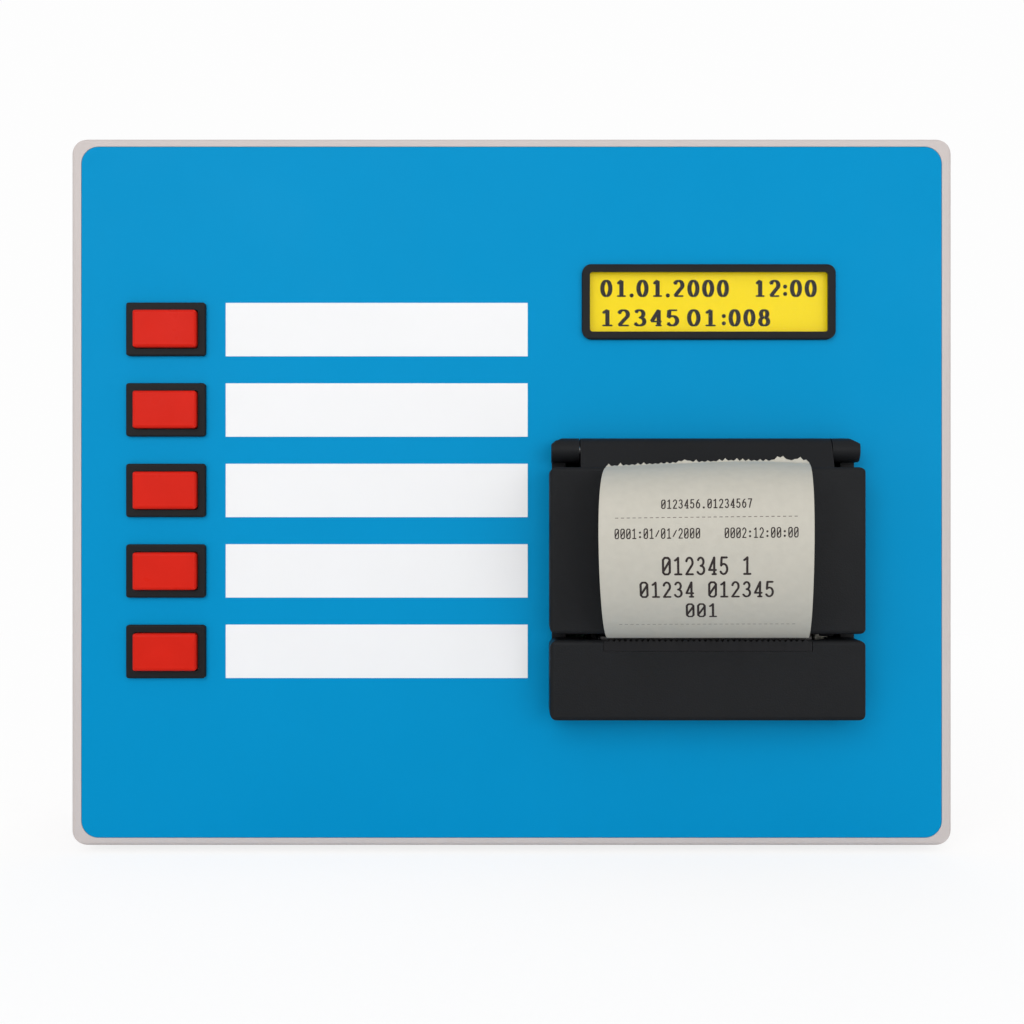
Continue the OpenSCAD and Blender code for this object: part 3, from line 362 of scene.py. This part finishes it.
def wound_paper():
    """The roll: paper on the outside, its turns seen as fine rings on both ends."""
    s = Shader("wound_paper", srgb(206, 203, 192), 0.6, Specular_IOR_Level=0.2)
    low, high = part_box("paper_roll")
    middle = (low + high) / 2
    rings = s.add("ShaderNodeTexWave", wave_type="RINGS", rings_direction="X")
    rings.inputs["Scale"].default_value = 700
    rings.inputs["Distortion"].default_value = 0.6
    s.link(s.stretched((1, 1, 1), (-middle.x, -middle.y, -middle.z)), rings.inputs["Vector"])
    s.paint(s.ramp(rings.outputs["Fac"], 0.2, 0.8, 0.35, 0), srgb(168, 160, 142))
    s.bump(rings.outputs["Fac"], 0.00002)
    return s.material


def cardboard():
    s = Shader("cardboard", (0.3, 0.21, 0.12), 0.8, Specular_IOR_Level=0.15)
    s.mottle(1, 0.15, 5, s.stretched((300, 1500, 1500)))
    s.bump(s.noise(1200, 5), 0.00006)
    return s.material


def cable():
    """Flat grey cable: a groove between each two of its cores, darkened by painted shade."""
    s = Shader("cable", (0.3, 0.31, 0.33), 0.45, Specular_IOR_Level=0.3)
    cores = s.add("ShaderNodeTexWave", bands_direction="X")
    cores.inputs["Scale"].default_value = 250
    s.link(s.place, cores.inputs["Vector"])
    s.bump(cores.outputs["Fac"], 0.0002)
    # painted shade: the bottom of each groove between cores is darkened
    s.paint(s.ramp(cores.outputs["Fac"], 0, 0.2, 0.4, 0), (0.12, 0.12, 0.13))
    return s.material


def components():
    return moulded("components", (0.022, 0.022, 0.024), 0.4, grain=1400, depth=0.00003)


# The finish of each material slot
FINISHES = {
    "case": case, "overlay": overlay, "labels": labels, "steel": steel, "dark_steel": dark_steel,
    "rubber": rubber, "black_plastic": black_plastic, "window": window, "lcd": lcd,
    "light_guide": light_guide, "circuit_board": circuit_board, "red_cap": red_cap, "brass": brass,
    "roller_rubber": roller_rubber, "nylon": nylon, "aluminium": aluminium, "ceramic": ceramic,
    "paper": paper, "cardboard": cardboard, "cable": cable, "parts": components,
}
SHARP = math.radians(32)     # edges that turn further than this stay sharp
made = {}                    # the materials so far, by slot


def finish(slot):
    if slot not in made:
        made[slot] = FINISHES[slot]()
    return made[slot]


def dress_nodes():
    """Every CAD node gets the finish of its material slot."""
    for entry in frame["record"]["subparts"]:
        data = nodes[entry["node"]].data
        data.materials.clear()
        data.materials.append(finish(entry["material_slot"]))
    nodes["paper_roll"].data.materials[0] = wound_paper()


def smooth_round_nodes():
    """Curved CAD faces shade smooth; their true edges stay sharp."""
    for obj in nodes.values():
        obj.data.shade_smooth()
        obj.data.set_sharp_from_angle(angle=SHARP)


# ---- Pieces made here ----

def new_piece(name, mesh, body, material):
    """A visible object that moves with a body."""
    mesh.materials.append(material)
    obj = bpy.data.objects.new(name, mesh)
    bpy.context.scene.collection.objects.link(obj)
    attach(obj, body)
    return obj


def mesh_from(name, points, faces, smooth=False):
    mesh = bpy.data.meshes.new(name)
    mesh.from_pydata([tuple(p) for p in points], [], faces)
    mesh.validate()
    if smooth:
        mesh.shade_smooth()
    mesh.update()
    return mesh


# ---- Figures ----

def arc(x, z, rx, rz, start, end, steps=14):
    """Points of an ellipse's arc; the angles are in degrees, from the right, turning up."""
    turns = [math.radians(start + (end - start) * i / steps) for i in range(steps + 1)]
    return [(x + rx * math.cos(a), z + rz * math.sin(a)) for a in turns]


# Each sign's strokes, in a unit square; a stroke of one point is a dot
SIGNS = {
    "0": [arc(0.5, 0.5, 0.5, 0.5, 90, 450, 32)],
    "1": [[(0.08, 0.84), (0.3, 0.9), (0.54, 1)], [(0.54, 1), (0.54, 0)], [(0.08, 0), (1, 0)]],
    "2": [arc(0.5, 0.72, 0.47, 0.28, 165, -32) + [(0.5, 0.32), (0.03, 0)], [(0.03, 0), (1, 0)]],
    "3": [arc(0.46, 0.76, 0.42, 0.24, 155, -90), arc(0.46, 0.26, 0.52, 0.26, 90, -155)],
    "4": [[(0.76, 0), (0.76, 1)], [(0.76, 1), (0, 0.26)], [(0, 0.26), (1, 0.26)],
          [(0.5, 0), (1, 0)]],
    "5": [[(0.9, 1), (0.14, 1)], [(0.14, 1), (0.08, 0.52)], arc(0.45, 0.31, 0.53, 0.31, 135, -150)],
    "6": [arc(0.5, 0.31, 0.48, 0.31, 90, 450, 26), arc(0.95, 0.31, 0.93, 0.69, 105, 180)],
    "7": [[(0, 1), (1, 1)], [(1, 1), (0.6, 0.5), (0.36, 0)]],
    "8": [arc(0.5, 0.76, 0.4, 0.24, 90, 450, 24), arc(0.5, 0.26, 0.5, 0.26, 90, 450, 26)],
    ".": [[(0.5, 0.04)]],
    ":": [[(0.5, 0.14)], [(0.5, 0.62)]],
    "/": [[(0.05, 0.18), (0.95, 0.82)]],
    " ": [],
}
# The ticket's own zero is square-shouldered and crossed
CROSSED_ZERO = [[(0.25, 0), (0, 0.12)], [(0, 0.12), (0, 0.88)], [(0, 0.88), (0.25, 1)],
                [(0.25, 1), (0.75, 1)], [(0.75, 1), (1, 0.88)], [(1, 0.88), (1, 0.12)],
                [(1, 0.12), (0.75, 0)], [(0.75, 0), (0.25, 0)], [(0.05, 0.2), (0.95, 0.8)]]
DOT = (0.2, 0.34)            # a dot's radius: millimetres, and the share of the pen added to it
LAYERS = 60                  # heights that overlapping polygons are spread over
LAYER = 0.0005 * MM


def finer(stroke, step):
    """The stroke with no two points further apart than step."""
    points = stroke[:1]
    for (x0, z0), (x1, z1) in zip(stroke, stroke[1:]):
        n = max(1, math.ceil(math.hypot(x1 - x0, z1 - z0) / step))
        points += [(x0 + (x1 - x0) * i / n, z0 + (z1 - z0) * i / n) for i in range(1, n + 1)]
    return points


def inked(strokes, at, size, thick, thin, step):
    """Polygons of a sign drawn with a pen that is thick on uprights and thin on levels."""
    for stroke in strokes:
        line = [(at[0] + x * size[0], at[1] + z * size[1]) for x, z in stroke]
        if len(line) > 1:
            line = finer(line, step)
            edges = []
            for i in range(len(line)):
                (x0, z0), (x1, z1) = line[max(i - 1, 0)], line[min(i + 1, len(line) - 1)]
                run = math.hypot(x1 - x0, z1 - z0) or 1
                dx, dz = (x1 - x0) / run, (z1 - z0) / run
                half = (thin + (thick - thin) * abs(dz)) / 2
                edges.append(((line[i][0] - dz * half, line[i][1] + dx * half),
                              (line[i][0] + dz * half, line[i][1] - dx * half), half))
            for a, b in zip(edges, edges[1:]):
                yield [a[0], b[0], b[1], a[1]]
            dots, r = (line[0], line[-1]), thin / 2
        else:
            dots, r = line, DOT[0] + DOT[1] * thick
        for x, z in dots:
            yield arc(x, z, r, r, 0, 315, 7)


def mesh_of_polygons(name, polygons, place):
    """One mesh of flat polygons, each point put in space by place(x, z, its height)."""
    points, faces = [], []
    for i, polygon in enumerate(polygons):
        faces.append(range(len(points), len(points) + len(polygon)))
        points += [place(*p, i % LAYERS * LAYER) for p in polygon]
    return mesh_from(name, points, faces)


# ---- Display ----
# Each run of figures: text, and in millimetres how far it is right of the opening's top left
# corner and below it, and its pitch
LCD_RUNS = (("01.01.2000", 3.1, 2.0, 4.27), ("12:00", 47.5, 2.0, 4.27),
            ("12345", 3.1, 10.5, 4.75), ("01", 28.2, 10.5, 4.75), (":008", 38.3, 10.5, 4.27))
LCD_FIGURE = (0.83, 4.9)     # a figure's width as a share of the pitch, and its height
LCD_STEP = {".": 1.92, ":": 1.92}  # the pitch of the signs that are only dots
LCD_PEN = (1.24, 0.5)        # millimetres, thick and thin
LCD_VIEW = (68.5 * MM, 17.2 * MM)  # the frame's opening
LCD_DOT_IN = 0.55            # millimetres from a dot's place to its middle
LCD_STROKE = 0.3             # millimetres, the longest straight piece of a stroke
LCD_LIFT = 0.02 * MM         # the figures' height above the glass


def display_digits():
    """Dark figures on the display's glass."""
    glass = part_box("lcd_glass")[0].y - LCD_LIFT
    low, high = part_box("lcd_frame")
    left = (low.x + high.x - LCD_VIEW[0]) / 2
    top = (low.z + high.z + LCD_VIEW[1]) / 2
    thick, thin = LCD_PEN
    polygons = []
    for text, x, down, pitch in LCD_RUNS:
        for sign in text:
            narrow = sign in LCD_STEP
            step = LCD_STEP.get(sign, pitch)
            size = (0 if narrow else LCD_FIGURE[0] * pitch - thick, LCD_FIGURE[1] - thin)
            at = (x + (LCD_DOT_IN if narrow else thick / 2), thin / 2 - down - LCD_FIGURE[1])
            polygons += inked(SIGNS[sign], at, size, thick, thin, LCD_STROKE)
            x += step
    mesh = mesh_of_polygons("display_digits", polygons, lambda x, z, lift: (
        left + x * MM, glass - lift, top + z * MM))
    new_piece("display_digits", mesh, "root", ink("lcd_ink", srgb(36, 33, 32), 0.4))


# ---- Ticket ----
CURL_RISE = 6 * MM           # how far the curl's middle is lifted, as in the CAD ticket
CURL_END = math.radians(81)
CURL_LEAN = 0.15             # how far it leans to the left, as a share of how far it is out
CURL_TURN = 0.018            # how far its free end is turned up on the right, as a slope
PAPER_W = 56 * MM
PAPER_T = 0.08 * MM
TEAR_PITCH = 1.6 * MM        # the tear bar's teeth
TORN_RUN = 2.6 * MM          # how far from the end the torn edge bends up
# Where the torn edge is higher: place from middle to side, width, and millimetres
TORN_RISES = ((0.72, 0.08, 1.1), (0.9, 0.07, 0.9), (-0.22, 0.07, 0.7), (0.2, 0.12, 0.25))
TORN_LOW = 2.1               # millimetres that the torn edge falls short of the end at most
TORN_POINT = 0.85            # millimetres, the tallest point that a tooth leaves
TORN_LEAST = 0.1             # the shortest one, as a share of the tallest
TORN_HOLLOW = 0.8            # under 1, a point's sides are hollow
TICKET_COLUMNS = 350
TICKET_ROWS = 90
CROWDING = 1.3               # over 1, the rows are closer together towards the torn edge
TICKET_STEPS = 600           # of the curve that its length is measured along
AHEAD = 0.01                 # radians, from a point to the next, for the curve's direction
# How far the curl stays inside the CAD ticket's front, rear and foot, and its share of the height
CLEAR_FRONT, CLEAR_REAR, CLEAR_FOOT = 0.25 * MM, 0.05 * MM, 0.1 * MM
CLEAR_TOP = 0.998
RIPPLE = 0.25 * MM           # of the free end, from side to side
RIPPLE_TURN = (3, 0.6)       # radians: from its middle to its side, and at its middle
CORNER_LAG = 0.6 * MM        # how far the free end's corners stay behind its middle
PRINT_LIFT = 0.01 * MM       # the print's height above the paper
PRINT_STROKE = 0.35          # millimetres, the longest straight piece of a stroke


class Ticket:
    """The curled paper as a surface: x across, s in metres along it from the slot."""

    def __init__(self):
        self.low, self.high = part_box("ticket")
        self.half = PAPER_W / 2
        self.middle = self.high.x - self.half
        self.out = self.high.y - self.low.y - CLEAR_FRONT
        end = self.curve_z(1, CURL_END)
        self.rise = (self.high.z - self.low.z) / end
        self.angles = [-math.pi / 2 + (CURL_END + math.pi / 2) * i / TICKET_STEPS
                       for i in range(TICKET_STEPS + 1)]
        self.lengths = [0.0]
        for a, b in zip(self.angles, self.angles[1:]):
            self.lengths.append(self.lengths[-1] + (self.point(b) - self.point(a)).length)
        self.length = self.lengths[-1]

    def curve_z(self, height, a):
        lift = CURL_RISE / (self.high.z - self.low.z)
        return height * ((1 + math.sin(a)) / 2 + lift * math.cos(a) ** 2)

    def point(self, a):
        """The middle of the paper at the angle a of its curl."""
        return Vector((0, self.high.y - CLEAR_REAR - self.out * math.cos(a),
                       self.low.z + CLEAR_FOOT + self.curve_z(self.rise, a) * CLEAR_TOP))

    def at(self, x, s, off=0.0):
        """The point at x from the middle and s along, moved off the paper's face."""
        s = max(0, min(self.length, s))
        step = min(max(1, bisect.bisect_left(self.lengths, s)), len(self.lengths) - 1)
        part = (s - self.lengths[step - 1]) / (self.lengths[step] - self.lengths[step - 1])
        a = self.angles[step - 1] + part * (self.angles[step] - self.angles[step - 1])
        here, ahead = self.point(a), self.point(a + AHEAD)
        run = (ahead - here).normalized()
        beyond = s - (self.length - TORN_RUN)
        if beyond > 0:
            # The torn fibres at the end stand up from the curl
            here -= run * beyond
            run = (run + Vector((0, 0, 2 * beyond / TORN_RUN))).normalized()
            here += run * beyond
        out = Vector((0, -run.z, run.y))
        # The free end's corners lag a little behind its middle
        free = (s / self.length) ** 3
        ripple = RIPPLE * math.sin(x / self.half * RIPPLE_TURN[0] + RIPPLE_TURN[1]) * free
        lag = CORNER_LAG * free * (abs(x) / self.half) ** 3
        lean = CURL_LEAN * (here.y - self.high.y)
        turn = CURL_TURN * x * s / self.length
        return here + out * (off + ripple - lag) + Vector((self.middle + x + lean, 0, turn))

    def torn(self, x):
        """How far short of the end the torn edge is at x: a row of uneven points."""
        place = (x + self.half) / TEAR_PITCH
        tooth = random.Random(int(place)).uniform(TORN_LEAST, 1)
        point = 1 - abs(2 * (place % 1) - 1) ** TORN_HOLLOW
        rise = sum(h * math.exp(-((x / self.half - c) / w) ** 2) for c, w, h in TORN_RISES)
        return (TORN_LOW - rise - TORN_POINT * tooth * point) * MM


def ticket_paper(ticket):
    columns = [-ticket.half + 2 * ticket.half * i / TICKET_COLUMNS
               for i in range(TICKET_COLUMNS + 1)]
    ends = [ticket.length - ticket.torn(x) for x in columns]
    rows = [1 - (1 - j / TICKET_ROWS) ** CROWDING for j in range(TICKET_ROWS + 1)]
    points = [ticket.at(x, end * row) for row in rows for x, end in zip(columns, ends)]
    wide = TICKET_COLUMNS + 1
    faces = [(j * wide + i, j * wide + i + 1, (j + 1) * wide + i + 1, (j + 1) * wide + i)
             for j in range(TICKET_ROWS) for i in range(TICKET_COLUMNS)]
    mesh = mesh_from("ticket_paper", points, faces, smooth=True)
    piece = new_piece("ticket_paper", mesh, "door", finish("paper"))
    thick = piece.modifiers.new("thickness", "SOLIDIFY")
    thick.thickness = PAPER_T
    thick.offset = 0
    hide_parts("ticket")


# One printed line: text, a sign's pitch and height and the pen in millimetres, and the place of
# its middle in the photograph, in pixels from the top
TICKET_LINES = (
    ("0123456.01234567", 1.5, 2.7, 0.32, 503.5),
    ("0001:01/01/2000    0002:12:00:00", 1.5, 2.75, 0.3, 533),
    ("012345 1", 3.0, 5.3, 0.6, 566),
    ("01234 012345", 3.0, 5.3, 0.6, 589.5),
    ("001 ", 3.0, 5.6, 0.6, 610.5),
)
TICKET_RULES = (517, 624)    # dashed rules, likewise
RULE_CELLS = 32              # each holds one dash
RULE_CELL = 1.5 * MM
RULE_DASH = (0.2, 0.55)      # a dash's start and length, as shares of its cell
RULE_HALF = 0.1 * MM         # half a dash's height
SIGN_WIDE = 0.78             # a sign's width as a share of its pitch


def printed_height(ticket, pixels):
    """The length along the paper that the camera sees at that pixel row."""
    eye = bpy.context.scene.camera.location

    def row(s):
        p = ticket.at(0, s)
        return IMAGE / 2 + (eye.z - p.z) / (p.y - eye.y) * LENS / SENSOR * IMAGE
    return min(ticket.lengths, key=lambda s: abs(row(s) - pixels))


def ticket_print(ticket):
    """Thermal print: figures in single and double size, and two dashed rules."""
    polygons = []
    for text, pitch, high, pen, pixels in TICKET_LINES:
        middle = printed_height(ticket, pixels) / MM
        wide = SIGN_WIDE * pitch - pen
        for i, sign in enumerate(text):
            at = ((i - len(text) / 2) * pitch + (pitch - wide) / 2, middle - (high - pen) / 2)
            strokes = CROSSED_ZERO if sign == "0" else SIGNS[sign]
            polygons += inked(strokes, at, (wide, high - pen), pen, pen, PRINT_STROKE)
    off = PAPER_T / 2 + PRINT_LIFT
    figures = mesh_of_polygons("ticket_figures", polygons, lambda x, s, lift: ticket.at(
        x * MM, s * MM, off + lift))
    new_piece("ticket_figures", figures, "door", ink("print", srgb(50, 41, 40)))
    dashes = []
    for pixels in TICKET_RULES:
        s = printed_height(ticket, pixels)
        for i in range(RULE_CELLS):
            x = (i - RULE_CELLS / 2 + RULE_DASH[0]) * RULE_CELL
            end = x + RULE_DASH[1] * RULE_CELL
            dashes.append([(x, s - RULE_HALF), (end, s - RULE_HALF),
                           (end, s + RULE_HALF), (x, s + RULE_HALF)])
    rules = mesh_of_polygons("ticket_rules", dashes, lambda x, s, lift: ticket.at(x, s, off))
    new_piece("ticket_rules", rules, "door", ink("faint_print", srgb(118, 110, 103)))


# ---- Rear details ----
CONTACTS = 8
CONTACT_PITCH = 1.02 * MM
CONTACT_R = 0.17 * MM
CONTACT_SIDES = 8
# A contact's bends: millimetres in from the socket's rear and up from its middle
CONTACT_PATH = ((11.6, 3.2), (4, 3.1), (3.4, 2.6), (9, 0.2))


def data_contacts():
    """Sprung gold wires in the data socket."""
    low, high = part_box("data_socket")
    middle = (low + high) / 2
    side = Vector((1, 0, 0))
    bm = bmesh.new()
    for i in range(CONTACTS):
        x = middle.x + (i - (CONTACTS - 1) / 2) * CONTACT_PITCH
        path = [Vector((x, high.y - y * MM, middle.z + z * MM)) for y, z in CONTACT_PATH]
        rings = []
        for k, p in enumerate(path):
            run = (path[min(k + 1, len(path) - 1)] - path[max(k - 1, 0)]).normalized()
            up = run.cross(side)
            rings.append([bm.verts.new(p + CONTACT_R * (math.cos(a) * side + math.sin(a) * up))
                          for a in (math.tau * t / CONTACT_SIDES for t in range(CONTACT_SIDES))])
        for first, second in zip(rings, rings[1:]):
            for t in range(CONTACT_SIDES):
                u = (t + 1) % CONTACT_SIDES
                bm.faces.new((first[t], first[u], second[u], second[t]))
        bm.faces.new(rings[0])
        bm.faces.new(list(reversed(rings[-1])))
    bmesh.ops.recalc_face_normals(bm, faces=bm.faces)
    mesh = bpy.data.meshes.new("data_contacts")
    bm.to_mesh(mesh)
    bm.free()
    mesh.shade_smooth()
    new_piece("data_contacts", mesh, "root", steel("gold", (0.85, 0.6, 0.22), 0.2))


ROCKER_TILT = math.radians(10)  # at rest
ROCKER_TOP = (4.547, 7.325)  # millimetres from the pivot to the rocker's rearmost and highest
# How far out from the pivot and up from it, in millimetres, a face starts and ends
ROCKER_FACE = ((2.1, 0), (3.4, 6.909))
MARK_LIFT = 0.03             # millimetres above the face
BAR = (0.25, 2.4, 5.2)       # millimetres: its half width, and its ends along the face
RING = (3.8, 1.4, 1.0)       # millimetres: its middle along the face, and its two radii
RING_STEPS = 32


def rocker_marks():
    """The usual bar and ring of a mains rocker, printed on its two faces."""
    low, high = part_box("power_rocker")
    pivot = Vector(((low.x + high.x) / 2, high.y - ROCKER_TOP[0] * MM, high.z - ROCKER_TOP[1] * MM))

    def place(side, x, along):
        """A point on the upper or lower face, along from its middle line towards its end."""
        (x0, z0), (x1, z1) = ROCKER_FACE
        middle, end = Vector((x0, side * z0)), Vector((x1, side * z1))
        p = middle + (end - middle) * (along / (end - middle).length) + Vector((MARK_LIFT, 0))
        c, s = math.cos(ROCKER_TILT), math.sin(ROCKER_TILT)
        return pivot + Vector((x, p.x * c + p.y * s, p.y * c - p.x * s)) * MM

    half, start, end = BAR
    bar = [[(-half, start), (half, start), (half, end), (-half, end)]]
    outer, inner = (arc(0, RING[0], r, r, 0, 360, RING_STEPS) for r in RING[1:])
    ring = [[outer[i], outer[i + 1], inner[i + 1], inner[i]] for i in range(RING_STEPS)]
    for name, side, shapes in (("rocker_bar", 1, bar), ("rocker_ring", -1, ring)):
        mesh = mesh_of_polygons(name, shapes, lambda x, along, lift: place(side, x, along))
        new_piece(name, mesh, "rocker", ink(name, (0.75, 0.75, 0.73), 0.5))


# ---- Springs ----
BUTTONS = 5


def coil(name, node, axis):
    """A coil spring with its node's shape, in steel, in place of the node."""
    axis = Vector(axis)
    mesh = nodes[node].data.copy()
    mesh.materials.clear()
    piece = new_piece(name, mesh, "root", finish("steel"))
    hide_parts(node)
    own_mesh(piece)


def coils():
    for i in range(1, BUTTONS + 1):
        coil(f"button_coil_{i}", f"button_spring_{i}", (0, 1, 0))
    coil("head_coils", "head_springs", (0, 0, 1))


# ---- Stage and light ----
WHITE = 0.985                # what the camera sees behind the object
FLOOR_SHADE = 0.25           # share of the floor that is lit, and so shows the shadow
FLOOR_LIGHT = 0.7            # how bright that share is, out in the open
FLOOR_NEAR, FLOOR_FAR = 0.2, 0.8  # metres from the middle between which that share fades out
FLOOR_HALF = 3.0             # metres
FLOOR_PALE = (0.88, 0.88, 0.88, 1)  # its colour as the object is lit by it
WORLD_LIGHT = 0.53
AIM = Vector((0, 0, 0.1))    # where the lamps point
# Each lamp: name, place and size in metres, and watts
LAMPS = (("key", (-0.5, -1.55, 0.75), 1.2, 10), ("fill", (0.7, -1.5, 0.1), 1.0, 7.2),
         ("rear", (0.4, 1.6, 0.3), 1.0, 10))


def light_path(tree, *rays):
    """1 for the named rays, else 0."""
    path = tree.nodes.new("ShaderNodeLightPath")
    out = path.outputs[rays[0]]
    for ray in rays[1:]:
        either = tree.nodes.new("ShaderNodeMath")
        either.operation = "MAXIMUM"
        tree.links.new(out, either.inputs[0])
        tree.links.new(path.outputs[ray], either.inputs[1])
        out = either.outputs[0]
    return out


def make_world():
    """Even light from all round, and a white background."""
    world = bpy.data.worlds.new("studio")
    bpy.context.scene.world = world
    world.use_nodes = True
    tree = world.node_tree
    lit = tree.nodes["Background"]
    lit.inputs["Strength"].default_value = WORLD_LIGHT
    lit.inputs["Color"].default_value = (1, 1, 1, 1)
    seen = tree.nodes.new("ShaderNodeBackground")
    seen.inputs["Strength"].default_value = WHITE
    seen.inputs["Color"].default_value = (1, 1, 1, 1)
    mix = tree.nodes.new("ShaderNodeMixShader")
    rays = light_path(tree, "Is Camera Ray", "Is Glossy Ray", "Is Transmission Ray")
    tree.links.new(rays, mix.inputs[0])
    tree.links.new(lit.outputs[0], mix.inputs[1])
    tree.links.new(seen.outputs[0], mix.inputs[2])
    tree.links.new(mix.outputs[0], tree.nodes["World Output"].inputs["Surface"])


def make_floor():
    """A white floor that the camera sees as the background, but for the object's shadow."""
    corners = [(x * FLOOR_HALF, y * FLOOR_HALF, 0) for x, y in ((-1, -1), (1, -1), (1, 1), (-1, 1))]
    mesh = mesh_from("floor", corners, [(0, 1, 2, 3)])
    material = bpy.data.materials.new("floor")
    material.use_nodes = True
    tree = material.node_tree
    tree.nodes.remove(tree.nodes["Principled BSDF"])
    pale = tree.nodes.new("ShaderNodeBsdfDiffuse")
    pale.inputs["Color"].default_value = FLOOR_PALE
    shaded = tree.nodes.new("ShaderNodeBsdfDiffuse")
    glow = tree.nodes.new("ShaderNodeEmission")
    rest = tree.nodes.new("ShaderNodeMath")
    rest.operation = "MULTIPLY_ADD"
    rest.inputs[1].default_value = -FLOOR_LIGHT
    rest.inputs[2].default_value = WHITE
    both = tree.nodes.new("ShaderNodeAddShader")
    place = tree.nodes.new("ShaderNodeTexCoord")
    reach = tree.nodes.new("ShaderNodeVectorMath")
    reach.operation = "LENGTH"
    fade = tree.nodes.new("ShaderNodeMapRange")
    for socket, number in zip(("From Min", "From Max", "To Min", "To Max"),
                              (FLOOR_NEAR, FLOOR_FAR, FLOOR_SHADE, 0)):
        fade.inputs[socket].default_value = number
    tree.links.new(place.outputs["Object"], reach.inputs[0])
    tree.links.new(reach.outputs["Value"], fade.inputs["Value"])
    tree.links.new(fade.outputs["Result"], shaded.inputs["Color"])
    tree.links.new(fade.outputs["Result"], rest.inputs[0])
    tree.links.new(rest.outputs[0], glow.inputs["Strength"])
    tree.links.new(shaded.outputs[0], both.inputs[0])
    tree.links.new(glow.outputs[0], both.inputs[1])
    seen = tree.nodes.new("ShaderNodeMixShader")
    tree.links.new(light_path(tree, "Is Camera Ray"), seen.inputs[0])
    tree.links.new(pale.outputs[0], seen.inputs[1])
    tree.links.new(both.outputs[0], seen.inputs[2])
    tree.links.new(seen.outputs[0], tree.nodes["Material Output"].inputs["Surface"])
    mesh.materials.append(material)
    floor = bpy.data.objects.new("floor", mesh)
    bpy.context.scene.collection.objects.link(floor)


def softbox(name, place, size, watts):
    """A square soft light aimed at the object's middle."""
    data = bpy.data.lights.new(name, "AREA")
    data.size = size
    data.energy = watts
    lamp = bpy.data.objects.new(name, data)
    lamp.location = place
    lamp.rotation_euler = (AIM - Vector(place)).to_track_quat("-Z", "Y").to_euler()
    bpy.context.scene.collection.objects.link(lamp)


def make_light():
    make_world()
    for lamp in LAMPS:
        softbox(*lamp)
    bpy.context.scene.view_settings.view_transform = "Standard"


make_camera()
dress_nodes()
smooth_round_nodes()
display_digits()
ticket = Ticket()
ticket_paper(ticket)
ticket_print(ticket)
data_contacts()
rocker_marks()
coils()
make_floor()
make_light()
